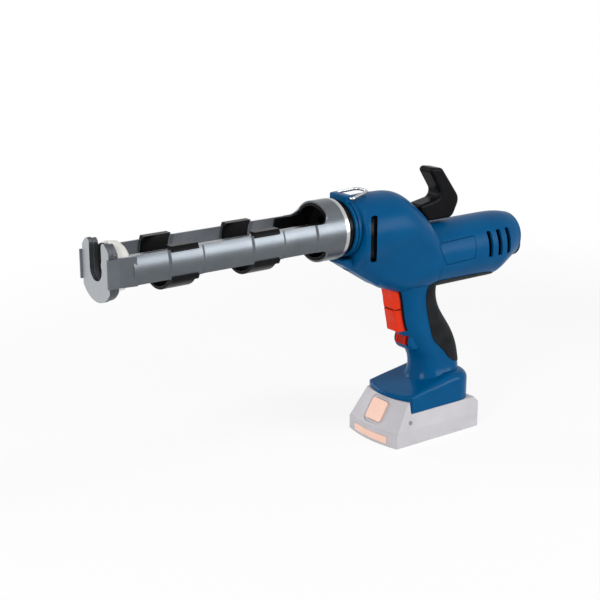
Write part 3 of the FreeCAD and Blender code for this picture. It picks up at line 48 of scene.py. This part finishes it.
# Lengths are in metres. +X is the tool's front, +Y the photographed side and +Z up.
AXIS_Z = 0.234
FOOT_TOP_Z = 0.0665
SEAM_HALF_WIDTH = 0.00018
SIDES = ((1, "left"), (-1, "right"))

# Painted shade line round the bare label panel: corners in X and Z
PANEL_CORNERS = [(-0.0025, 0.2065), (-0.0559, 0.2080), (-0.0535, 0.1853), (-0.0140, 0.1840)]
PANEL_CORNER_R = 0.0022
PANEL_CORNER_STEPS = 6
PANEL_STEP = 0.002
PANEL_LINE = 0.0008

# How far a line stands out of the surface that it lies on, and how deep it is set in
BEAD_LIFT = 0.0001
BEAD_SINK = 0.0003
RAY_START = 0.2

# Front slots: place in X and Y and turn from the side to the front, then the walls behind them
SLOT_PLACE = (0.0863, 0.0352)
SLOT_TURN = math.radians(39.0)
SLOT_BOTTOM_Z = AXIS_Z - 0.034
SLOT_TOP_Z = AXIS_Z + 0.014
SLOT_DEPTH = 0.024
SLOT_OVERLAP = 0.001
BAFFLE_HALF_WIDTH = 0.0048
BAFFLE_WALL = 0.001
BAFFLE_STEPS = 24

# Painted shade in the groove on the trigger: its side lines run from one distance from the trigger's back to
# the other, and its front line stops short of the sides
GROOVE_BACK = 0.007
GROOVE_FRONT = 0.0208
GROOVE_EDGE = 0.001
GROOVE_LINE = 0.0013
GROOVE_STEPS = 16

# Painted shadow in the opening beside the trigger: from its sides outwards, and from its top downwards
GAP_INNER = 0.0006
GAP_OUTER = 0.0026
GAP_TOP = 0.004
GAP_STEPS = 24

# Screw on each side of the battery: place in X and Z, then rings as share of the radius, lobes and height
SCREW_PLACE = (0.035, 0.024)
SCREW_R = 0.0023
SCREW_RINGS = ((1.0, 0.0, -0.0004), (1.0, 0.0, 0.0003), (0.9, 0.0, 0.0005),
               (0.5, 0.16, 0.0005), (0.46, 0.16, 0.0001))
SCREW_LOBES = 6
SCREW_POINTS = 48

# Noise: most of it lies between these values
NOISE_LOW = 0.3
NOISE_HIGH = 0.7

# Plastic in general: scales of its noise, height of its grain, and roughness below and above the middle
CLOUDS = 38.0
GLOSS_SPOTS = 420.0
MOULD_GRAIN = 2600.0
GRAIN_HEIGHT = 0.00012
SMOOTHER = 0.05
ROUGHER = 0.06
BEVEL_SAMPLES = 6

# Metal in general: scales of its noise, height of its marks and their effect on the roughness
STAINS = 60.0
MARKS = 900.0
MARK_HEIGHT = 0.00004
MARK_GLOSS = 0.07

# Housing: roughness of its two finishes, which run over into each other round the top of the foot
POLISHED = 0.16
SATIN = 0.32
POLISH_END_Z = FOOT_TOP_Z - 0.004
SATIN_START_Z = FOOT_TOP_Z + 0.006

# Cradle's tube: share of metal and roughness of its inside and its outside
TUBE_METAL = (0.25, 0.82)
TUBE_ROUGH = (0.5, 0.32)
TUBE_BLEND = 0.004

# Sockets of the Mix node that hold its colours
MIX_FIRST, MIX_SECOND, MIX_RESULT = 6, 7, 2

# Stretch of the marks that drawing or grinding leaves along an axis
ALONG_X = (0.03, 1.0, 1.0)
ALONG_Y = (1.0, 0.03, 1.0)
ROUND_X = (1.0, 0.2, 0.2)
EVEN = (1.0, 1.0, 1.0)

# Plastics: two colours as screen values, roughness, strength of the grain, specular level, radius of the edges
PLASTICS = {
    "black_plastic": ((15, 15, 17), (9, 9, 11), 0.24, 0.06, 0.06, 0.0006),
    "white_plastic": ((232, 232, 229), (222, 222, 220), 0.3, 0.08, 0.2, 0.0005),
    "red_plastic": ((214, 50, 20), (198, 42, 16), 0.26, 0.08, 0.1, 0.0007),
    "magnet": ((60, 60, 63), (46, 46, 49), 0.55, 0.3, 0.4, 0.0005),
    "circuit_board": ((22, 92, 52), (14, 74, 40), 0.3, 0.1, 0.4, 0.0005),
    "battery_grey": ((190, 188, 192), (181, 179, 183), 0.4, 0.16, 0.1, 0.0007),
    "battery_peach": ((243, 206, 189), (238, 197, 178), 0.42, 0.14, 0.1, 0.0008),
    "cell_wrap": ((30, 120, 108), (22, 102, 92), 0.32, 0.04, 0.4, 0.0005),
    "plunger_white": ((226, 225, 220), (214, 213, 208), 0.36, 0.08, 0.2, 0.0005),
    "hook_plastic": ((16, 17, 19), (10, 10, 12), 0.3, 0.06, 0.05, 0.0005),
    # lock_red: red darkened as painted shade of the button's recess
    "lock_red": ((176, 40, 30), (160, 34, 24), 0.3, 0.08, 0.06, 0.0005),
    # groove_blue: painted shade in the line round the label panel
    "groove_blue": ((0, 46, 84), (0, 40, 76), 0.45, 0.1, 0.03, 0.0),
    # groove_red: painted shade for the groove on the trigger
    "groove_red": ((96, 14, 6), (84, 10, 4), 0.45, 0.1, 0.03, 0.0),
    "screw_grey": ((150, 148, 152), (138, 136, 140), 0.4, 0.1, 0.1, 0.0),
}
# Metals: two colours as screen values, roughness, stretch and strength of the marks
METALS = {
    "steel": ((198, 200, 203), (178, 180, 184), 0.26, ALONG_X, 0.12),
    "gearbox_alloy": ((158, 160, 163), (138, 140, 144), 0.45, EVEN, 0.3),
    "contact_brass": ((214, 180, 104), (190, 152, 80), 0.28, ALONG_X, 0.1),
    "polished_steel": ((182, 184, 187), (164, 166, 170), 0.22, ALONG_Y, 0.02),
    "bright_ring": ((182, 183, 183), (168, 169, 170), 0.28, ROUND_X, 0.06),
    "dark_steel": ((62, 64, 67), (50, 52, 55), 0.42, ALONG_X, 0.12),
}
# Nodes that look otherwise than their slot
OTHER_LOOKS = {
    "hanging_ring": "polished_steel", "collar_ring": "bright_ring", "pull_hook": "hook_plastic",
    "front_plate": "plate_metal", "backing_plate": "plate_metal", "motor_can": "dark_steel",
    "piston": "push_plate_white", "lock_button": "lock_red",
}

# Floor, which fades out from one distance to the other, and the light of the room
FLOOR_HALF = 1.1
FLOOR_DROP = 0.0002
FLOOR_GREY = 0.86
FLOOR_GLOW = 0.86
FLOOR_WHOLE = 0.45
FLOOR_GONE = 1.0
WHITE = (1.0, 1.0, 1.0, 1.0)
ROOM_LIGHT = 0.15

# Soft boxes, which all point to one place: place, width, height and power in watts
LIT_PLACE = (0.1, 0.0, 0.16)
SOFTBOXES = {
    "side_box": ((-0.62, 1.1, 0.55), 0.85, 0.6, 12.5),
    "front_box": ((1.35, 0.5, 0.62), 0.5, 0.6, 13.0),
    "high_box": ((-0.08, 0.55, 1.29), 0.4, 0.2, 4.0),
    "far_box": ((0.5, -1.25, 0.6), 0.7, 0.6, 8.0),
}

# Camera that shows the tool as the photograph does
CAMERA_PLACE = (0.89347, 1.00343, 0.53323)
CAMERA_YAW = math.radians(36.55)
CAMERA_PITCH = math.radians(16.31)
CAMERA_LENS = 80.105
CAMERA_SENSOR = 36.0


def linear(r, g, b):
    """Colour written as screen values from 0 to 255, as the renderer's linear values."""
    def one(v):
        v /= 255.0
        return v / 12.92 if v <= 0.04045 else ((v + 0.055) / 1.055) ** 2.4
    return (one(r), one(g), one(b), 1.0)


class Nodes:
    """Node tree of a material or a world, with short ways to add to it."""

    def __init__(self, owner):
        self.data = owner
        owner.use_nodes = True
        self.tree = owner.node_tree

    def put(self, value, socket):
        """Links a socket to another node's output, or sets it to a plain value."""
        if isinstance(value, bpy.types.NodeSocket):
            self.tree.links.new(value, socket)
        else:
            socket.default_value = value

    def node(self, kind, inputs=None, **settings):
        """New node; each of its inputs may be a value or another node's output."""
        made = self.tree.nodes.new(kind)
        for key, value in settings.items():
            setattr(made, key, value)
        for socket, value in (inputs or {}).items():
            self.put(value, made.inputs[socket])
        return made

    def math(self, operation, *values):
        """Result of an operation on numbers or on other nodes' outputs."""
        return self.node("ShaderNodeMath", dict(enumerate(values)), operation=operation).outputs[0]

    def ranged(self, value, low, high, to_low=0.0, to_high=1.0, **settings):
        """Value brought from one range to another, and held within it."""
        inputs = {"Value": value, "From Min": low, "From Max": high, "To Min": to_low, "To Max": to_high}
        return self.node("ShaderNodeMapRange", inputs, **settings).outputs["Result"]

    def blended(self, factor, first, second):
        """Shader between the shaders of two nodes."""
        return self.node("ShaderNodeMixShader", {0: factor, 1: first.outputs[0], 2: second.outputs[0]})

    def seen_directly(self):
        """1 for rays from the camera, and for those that mirror or pass through something."""
        ray = self.node("ShaderNodeLightPath").outputs
        first = self.math("MAXIMUM", ray["Is Camera Ray"], ray["Is Glossy Ray"])
        return self.math("MAXIMUM", first, ray["Is Transmission Ray"])


class Material(Nodes):
    """Principled material that is put together from a few kinds of node chains."""

    def __init__(self, name, metallic=0.0, specular=0.5):
        super().__init__(bpy.data.materials.new(name))
        self.shader = self.tree.nodes["Principled BSDF"]
        self.put(metallic, self.shader.inputs["Metallic"])
        self.put(specular, self.shader.inputs["Specular IOR Level"])
        place = self.node("ShaderNodeTexCoord")
        self.coords = place.outputs["Object"]
        self.normals = place.outputs["Normal"]

    def noise(self, scale, detail=3.0, roughness=0.55, stretch=None):
        """Noise in the shared frame, which may be stretched by a factor along each axis."""
        vector = self.coords
        if stretch:
            vector = self.node("ShaderNodeMapping", {"Vector": vector, "Scale": stretch}).outputs["Vector"]
        inputs = {"Scale": scale, "Detail": detail, "Roughness": roughness, "Vector": vector}
        return self.node("ShaderNodeTexNoise", inputs).outputs["Fac"]

    def spread(self, noise, to_low=0.0, to_high=1.0):
        """Noise brought from the range where most of it lies to another."""
        return self.ranged(noise, NOISE_LOW, NOISE_HIGH, to_low, to_high)

    def mixed(self, factor, first, second):
        """Colour between two colours; each may be a colour or another node's output."""
        made = self.node("ShaderNodeMix", {"Factor": factor}, data_type="RGBA")
        self.put(first, made.inputs[MIX_FIRST])
        self.put(second, made.inputs[MIX_SECOND])
        return made.outputs[MIX_RESULT]

    def part(self, vector, axis):
        """Part of a place or a normal along one axis of the shared frame."""
        return self.node("ShaderNodeSeparateXYZ", {0: vector}).outputs[axis]

    def seam(self):
        """0 on the line where the two half shells meet, 1 beside it."""
        beside = self.math("ABSOLUTE", self.part(self.coords, "Y"))
        return self.ranged(beside, SEAM_HALF_WIDTH, 2 * SEAM_HALF_WIDTH)

    def outward(self, blend):
        """1 where the surface faces away from the cradle's axis, and 0 where it faces the axis."""
        inputs = {"Vector": self.coords, "Location": (0.0, 0.0, -AXIS_Z), "Scale": (0.0, 1.0, 1.0)}
        from_axis = self.node("ShaderNodeMapping", inputs).outputs["Vector"]
        along = self.node("ShaderNodeVectorMath", {0: from_axis, 1: self.normals}, operation="DOT_PRODUCT")
        return self.ranged(along.outputs["Value"], -blend, blend)

    def colour(self, first, second, factor):
        self.put(self.mixed(factor, first, second), self.shader.inputs["Base Color"])

    def roughness(self, value):
        self.put(value, self.shader.inputs["Roughness"])

    def relief(self, heights, strength, distance, edge=0.0):
        """Fine relief from a height, over edges that are rounded by a small radius."""
        bump = self.node("ShaderNodeBump", {"Strength": strength, "Distance": distance, "Height": heights})
        if edge:
            bevel = self.node("ShaderNodeBevel", {"Radius": edge}, samples=BEVEL_SAMPLES)
            self.put(bevel.outputs["Normal"], bump.inputs["Normal"])
        self.put(bump.outputs["Normal"], self.shader.inputs["Normal"])


def moulded(name, colour, shade, rough, grain, specular, edge):
    """Moulded plastic: cloudy colour, slightly uneven gloss and a fine spark-eroded grain."""
    m = Material(name, specular=specular)
    m.colour(linear(*shade), linear(*colour), m.spread(m.noise(CLOUDS)))
    m.roughness(m.spread(m.noise(GLOSS_SPOTS, detail=4.0), rough - SMOOTHER, rough + ROUGHER))
    m.relief(m.noise(MOULD_GRAIN, detail=2.0), grain, GRAIN_HEIGHT, edge)
    return m.data


def drawing_marks(m, stretch):
    """Noise of the marks in a metal."""
    return m.noise(MARKS, detail=5.0, roughness=0.65, stretch=stretch)


def metal(name, colour, shade, rough, stretch, strength):
    """Metal whose drawing or grinding marks run along one direction."""
    m = Material(name, metallic=1.0)
    marks = drawing_marks(m, stretch)
    m.colour(linear(*shade), linear(*colour), m.spread(m.noise(STAINS, detail=4.0)))
    m.roughness(m.spread(marks, rough - MARK_GLOSS, rough + MARK_GLOSS))
    m.relief(marks, strength, MARK_HEIGHT)
    return m.data


def housing_plastic():
    """Blue housing: satin with a fine grain, and polished on the foot."""
    m = Material("housing_blue", specular=0.06)
    plain = m.mixed(m.spread(m.noise(30.0)), linear(0, 71, 116), linear(0, 77, 123))
    seam_shade = linear(0, 30, 56)
    m.colour(seam_shade, plain, m.seam())
    satin = m.ranged(m.part(m.coords, "Z"), POLISH_END_Z, SATIN_START_Z)
    uneven = m.spread(m.noise(380.0, detail=4.0), -0.03, 0.04)
    m.roughness(m.math("ADD", m.ranged(satin, 0.0, 1.0, POLISHED, SATIN), uneven))
    grain = m.math("MULTIPLY", m.noise(2400.0, detail=2.0), satin)
    m.relief(grain, strength=0.14, distance=GRAIN_HEIGHT, edge=0.0006)
    return m.data


def grip_rubber():
    """Soft black rubber with a dimpled surface and dusty high spots."""
    m = Material("grip_rubber", specular=0.06)
    dimples = m.node("ShaderNodeTexVoronoi", {"Scale": 900.0, "Vector": m.coords}).outputs["Distance"]
    dust = m.ranged(m.noise(55.0, detail=4.0), low=0.3, high=0.75)
    m.colour(linear(19, 21, 23), linear(33, 36, 38), dust)
    m.roughness(m.spread(m.noise(300.0, detail=4.0), 0.5, 0.66))
    m.relief(dimples, strength=0.22, distance=0.0002, edge=0.0007)
    return m.data


def cradle_finish():
    """Drawn tube: polished outside, and duller and paler inside."""
    m = Material("cradle_metal")
    marks = drawing_marks(m, ALONG_X)
    outside = m.outward(TUBE_BLEND)
    stains = m.spread(m.noise(STAINS, detail=4.0))
    dull = m.mixed(stains, linear(98, 102, 108), linear(106, 110, 116))
    bright = m.mixed(stains, linear(89, 94, 99), linear(95, 100, 105))
    m.colour(dull, bright, outside)
    m.put(m.ranged(outside, 0.0, 1.0, *TUBE_METAL), m.shader.inputs["Metallic"])
    m.roughness(m.math("ADD", m.ranged(outside, 0.0, 1.0, *TUBE_ROUGH), m.spread(marks, -0.015, 0.015)))
    m.relief(marks, strength=0.008, distance=MARK_HEIGHT)
    return m.data


def plate_metal():
    """Zinc-coated plate: speckled faces, and edges painted dark as shade."""
    m = Material("plate_metal", metallic=0.45)
    specks = m.noise(700.0, detail=4.0, roughness=0.7)
    face = m.mixed(m.ranged(specks, low=0.35, high=0.65), linear(152, 156, 160), linear(170, 173, 177))
    # Painted shade: faces that do not face along X, such as the slot's walls, are dark
    painted_shade_edge = linear(62, 65, 69)
    squarely = m.math("ABSOLUTE", m.part(m.normals, "X"))
    m.colour(painted_shade_edge, face, m.ranged(squarely, low=0.55, high=0.9))
    m.roughness(m.spread(specks, 0.34, 0.5))
    m.relief(specks, strength=0.05, distance=0.00006)
    return m.data


def push_plate_plastic():
    """White push plate whose face, which presses on the cartridge, is painted dark as shade."""
    m = Material("push_plate_white", specular=0.2)
    white = m.mixed(m.spread(m.noise(CLOUDS)), linear(220, 219, 214), linear(232, 231, 226))
    # Painted shade: faces turned to the front are dark
    painted_shade_face = linear(26, 26, 28)
    m.colour(white, painted_shade_face, m.ranged(m.part(m.normals, "X"), low=0.6, high=0.8))
    m.roughness(m.spread(m.noise(GLOSS_SPOTS, detail=4.0), 0.3, 0.42))
    m.relief(m.noise(MOULD_GRAIN, detail=2.0), strength=0.08, distance=GRAIN_HEIGHT, edge=0.0005)
    return m.data


looks = {
    "housing_blue": housing_plastic(), "grip_rubber": grip_rubber(), "cradle_metal": cradle_finish(),
    "plate_metal": plate_metal(), "push_plate_white": push_plate_plastic(),
}
looks.update({name: moulded(name, *row) for name, row in PLASTICS.items()})
looks.update({name: metal(name, *row) for name, row in METALS.items()})

for subpart in frame["record"]["subparts"]:
    shown = nodes[subpart["node"]]
    shown.data.materials.clear()
    shown.data.materials.append(looks[OTHER_LOOKS.get(subpart["node"], subpart["material_slot"])])


def new_piece(name, mesh_maker, look, body):
    """Mesh piece made by a function that fills a bmesh, riding on a body."""
    mesh = bpy.data.meshes.new(name)
    bm = bmesh.new()
    mesh_maker(bm)
    bmesh.ops.recalc_face_normals(bm, faces=bm.faces)
    bm.to_mesh(mesh)
    bm.free()
    piece = bpy.data.objects.new(name, mesh)
    scene.collection.objects.link(piece)
    mesh.materials.append(looks[look])
    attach(piece, body)


class Surface:
    """Surface of a CAD node, found by rays."""

    def __init__(self, node):
        mesh = nodes[node].data
        self.tree = BVHTree.FromPolygons([v.co for v in mesh.vertices], [f.vertices for f in mesh.polygons])

    def first(self, start, direction):
        """Point where a ray first meets the surface, and the normal there on the ray's side."""
        point, normal = self.tree.ray_cast(start, direction)[:2]
        return point, normal if normal.dot(direction) < 0 else -normal

    def at_side(self, x, z, side):
        """The same at a place on the left (side 1) or the right (side -1)."""
        return self.first(Vector((x, side * RAY_START, z)), Vector((0.0, -side, 0.0)))

    def at_front(self, y, z):
        """The same at a place on the front."""
        return self.first(Vector((RAY_START, y, z)), Vector((-1.0, 0.0, 0.0)))


def stepped(low, high, steps):
    """Even steps from one value to another, with both ends."""
    return [low + (high - low) * k / steps for k in range(steps + 1)]


def rounded_outline(corners, radius, steps):
    """Closed outline through rounded corners, as points in the plane."""
    points = []
    for n, corner in enumerate(corners):
        here = Vector(corner)
        back = (Vector(corners[n - 1]) - here).normalized()
        on = (Vector(corners[(n + 1) % len(corners)]) - here).normalized()
        reach = radius / math.tan(back.angle(on) / 2)
        centre = here + (back + on).normalized() * math.hypot(reach, radius)
        first, last = here + back * reach - centre, here + on * reach - centre
        turn = first.angle_signed(last)
        for k in range(steps + 1):
            angle = -turn * k / steps
            points.append(centre + Vector((first.x * math.cos(angle) - first.y * math.sin(angle),
                                           first.x * math.sin(angle) + first.y * math.cos(angle))))
    return points


def spaced(points, step):
    """Closed outline with more points, about a step apart, along its straight runs."""
    filled = []
    for n, point in enumerate(points):
        following = points[(n + 1) % len(points)]
        count = max(1, round((following - point).length / step))
        filled += [point.lerp(following, k / count) for k in range(count)]
    return filled


def bar(bm, outlines, closed):
    """Solid bar through outlines of four corners each, either closed to a loop or with two ends."""
    sections = [[bm.verts.new(corner) for corner in corners] for corners in outlines]
    befores = sections[-1:] + sections[:-1] if closed else sections[:-1]
    for before, section in zip(befores, sections if closed else sections[1:]):
        for k in range(4):
            bm.faces.new((before[k], section[k], section[(k + 1) % 4], before[(k + 1) % 4]))
    if not closed:
        bm.faces.new(sections[0])
        bm.faces.new(sections[-1])


def strip(bm, pairs, closed):
    """Flat bead over a surface, from pairs of surface points with their normals on its two edges."""
    bar(bm, [(first - first_normal * BEAD_SINK, first + first_normal * BEAD_LIFT,
              last + last_normal * BEAD_LIFT, last - last_normal * BEAD_SINK)
             for (first, first_normal), (last, last_normal) in pairs], closed)


def painted_panel_shade(bm):
    """Painted shade line round the bare label panel, where its groove would hold shade; it follows the
    housing's surface.
    """
    surface = Surface("left_shell")
    path = spaced(rounded_outline(PANEL_CORNERS, PANEL_CORNER_R, PANEL_CORNER_STEPS), PANEL_STEP)
    pairs = []
    for n, point in enumerate(path):
        along = (path[(n + 1) % len(path)] - path[n - 1]).normalized()
        across = Vector((-along.y, along.x)) * PANEL_LINE / 2
        pairs.append([surface.at_side(*(point + offset), 1) for offset in (-across, across)])
    strip(bm, pairs, True)


def trigger_groove_shade(bm):
    """Painted shade: dark bottom of the groove between the fingers, across the trigger's front and along its
    sides.
    """
    surface = Surface("trigger")
    low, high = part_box("trigger")
    heights = [(low.z + high.z + offset) / 2 for offset in (-GROOVE_LINE, GROOVE_LINE)]
    for side in (1, -1):
        places = stepped(low.x + GROOVE_BACK, low.x + GROOVE_FRONT, GROOVE_STEPS)
        strip(bm, [[surface.at_side(x, z, side) for z in heights] for x in places], False)
    places = stepped(GROOVE_EDGE - high.y, high.y - GROOVE_EDGE, GROOVE_STEPS)
    strip(bm, [[surface.at_front(y, z) for z in heights] for y in places], False)


def trigger_gap_shadow(node, side):
    """Painted shadow: dark line along the opening in the handle, beside the trigger."""
    def fill(bm):
        surface = Surface(node)
        low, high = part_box("trigger")
        edges = [side * (high.y + offset) for offset in (GAP_INNER, GAP_OUTER)]
        places = stepped(low.z, high.z - GAP_TOP, GAP_STEPS)
        strip(bm, [[surface.at_front(y, z) for y in edges] for z in places], False)
    return fill


def slot_baffle(node, side):
    """Wall behind a front slot, which joins the shell's inner faces on both sides of it."""
    def fill(bm):
        surface = Surface(node)
        outward = Vector((math.sin(SLOT_TURN), side * math.cos(SLOT_TURN), 0.0))
        across = Vector((math.cos(SLOT_TURN), -side * math.sin(SLOT_TURN), 0.0)) * BAFFLE_HALF_WIDTH
        outlines = []
        for z in stepped(SLOT_BOTTOM_Z - SLOT_OVERLAP, SLOT_TOP_Z + SLOT_OVERLAP, BAFFLE_STEPS):
            inside = Vector((SLOT_PLACE[0], side * SLOT_PLACE[1], z)) - outward * SLOT_DEPTH
            first, last = (surface.first(inside + offset, outward)[0] for offset in (-across, across))
            outlines.append((first, last, last - outward * BAFFLE_WALL, first - outward * BAFFLE_WALL))
        bar(bm, outlines, False)
    return fill


def battery_screw(side):
    """Low screw head with a six-lobed socket, on one side of the battery."""
    def fill(bm):
        place, normal = Surface("battery_cover").at_side(*SCREW_PLACE, side)
        across = normal.cross(Vector((0.0, 0.0, 1.0))).normalized()
        up = across.cross(normal)
        rings = []
        for size, lobes, rise in SCREW_RINGS:
            ring = []
            for k in range(SCREW_POINTS):
                angle = 2 * math.pi * k / SCREW_POINTS
                r = SCREW_R * size * (1 + lobes * math.cos(SCREW_LOBES * angle))
                outwards = across * math.cos(angle) + up * math.sin(angle)
                ring.append(bm.verts.new(place + outwards * r + normal * rise))
            rings.append(ring)
        for inner, outer in zip(rings[1:], rings):
            for k in range(SCREW_POINTS):
                bm.faces.new((outer[k - 1], outer[k], inner[k], inner[k - 1]))
        bm.faces.new(rings[0])
        bm.faces.new(rings[-1])
    return fill


new_piece("label_panel_groove", painted_panel_shade, "groove_blue", "housing")
for side, name in SIDES:
    wall = slot_baffle(name + "_shell", side)
    new_piece(name + "_slot_baffle", wall, "black_plastic", "housing")
new_piece("trigger_groove_shade", trigger_groove_shade, "groove_red", "trigger_unit")
for side, name in SIDES:
    new_piece(name + "_battery_screw", battery_screw(side), "screw_grey", "battery")
    # Painted shadow in the opening beside the trigger
    gap = trigger_gap_shadow(name + "_shell", side)
    new_piece(name + "_trigger_gap_shadow", gap, "black_plastic", "housing")

# Floor
floor_mesh = bpy.data.meshes.new("floor")
corners = [(x * FLOOR_HALF, y * FLOOR_HALF, 0.0) for x, y in ((-1, -1), (1, -1), (1, 1), (-1, 1))]
floor_mesh.from_pydata(corners, [], [(0, 1, 2, 3)])
floor = bpy.data.objects.new("floor", floor_mesh)
scene.collection.objects.link(floor)
floor.location.z = -FLOOR_DROP

look = Nodes(bpy.data.materials.new("floor_white"))
look.tree.nodes.clear()
paper = look.node("ShaderNodeBsdfDiffuse", {"Color": (FLOOR_GREY, FLOOR_GREY, FLOOR_GREY, 1.0)})
glow = look.node("ShaderNodeEmission", {"Color": WHITE})
lit = look.blended(look.math("MULTIPLY", look.seen_directly(), FLOOR_GLOW), paper, glow)
place = look.node("ShaderNodeTexCoord").outputs["Object"]
distance = look.node("ShaderNodeVectorMath", {0: place}, operation="LENGTH").outputs["Value"]
fade = look.ranged(distance, FLOOR_WHOLE, FLOOR_GONE, interpolation_type="SMOOTHSTEP")
faded = look.blended(fade, lit, look.node("ShaderNodeBsdfTransparent"))
look.node("ShaderNodeOutputMaterial", {"Surface": faded.outputs[0]})
floor_mesh.materials.append(look.data)

# Room: white where it is seen, and weak as a light
room = Nodes(bpy.data.worlds.new("studio"))
room.tree.nodes.clear()
fill_light, backdrop = (room.node("ShaderNodeBackground", {"Color": WHITE, "Strength": strength})
                        for strength in (ROOM_LIGHT, 1.0))
seen = room.blended(room.seen_directly(), fill_light, backdrop)
room.node("ShaderNodeOutputWorld", {"Surface": seen.outputs[0]})
scene.world = room.data

for name, (place, width, height, power) in SOFTBOXES.items():
    lamp = bpy.data.lights.new(name, "AREA")
    lamp.shape = "RECTANGLE"
    lamp.size = width
    lamp.size_y = height
    lamp.energy = power
    holder = bpy.data.objects.new(name, lamp)
    scene.collection.objects.link(holder)
    holder.location = place
    holder.rotation_euler = (Vector(LIT_PLACE) - Vector(place)).to_track_quat("-Z", "Y").to_euler()

camera_data = bpy.data.cameras.new("camera")
camera_data.lens = CAMERA_LENS
camera_data.sensor_width = CAMERA_SENSOR
camera_data.sensor_fit = "HORIZONTAL"
camera = bpy.data.objects.new("camera", camera_data)
scene.collection.objects.link(camera)
camera.location = CAMERA_PLACE
level = math.cos(CAMERA_PITCH)
ahead = Vector((-math.sin(CAMERA_YAW) * level, -math.cos(CAMERA_YAW) * level, -math.sin(CAMERA_PITCH)))
camera.rotation_euler = ahead.to_track_quat("-Z", "Y").to_euler()
scene.camera = camera
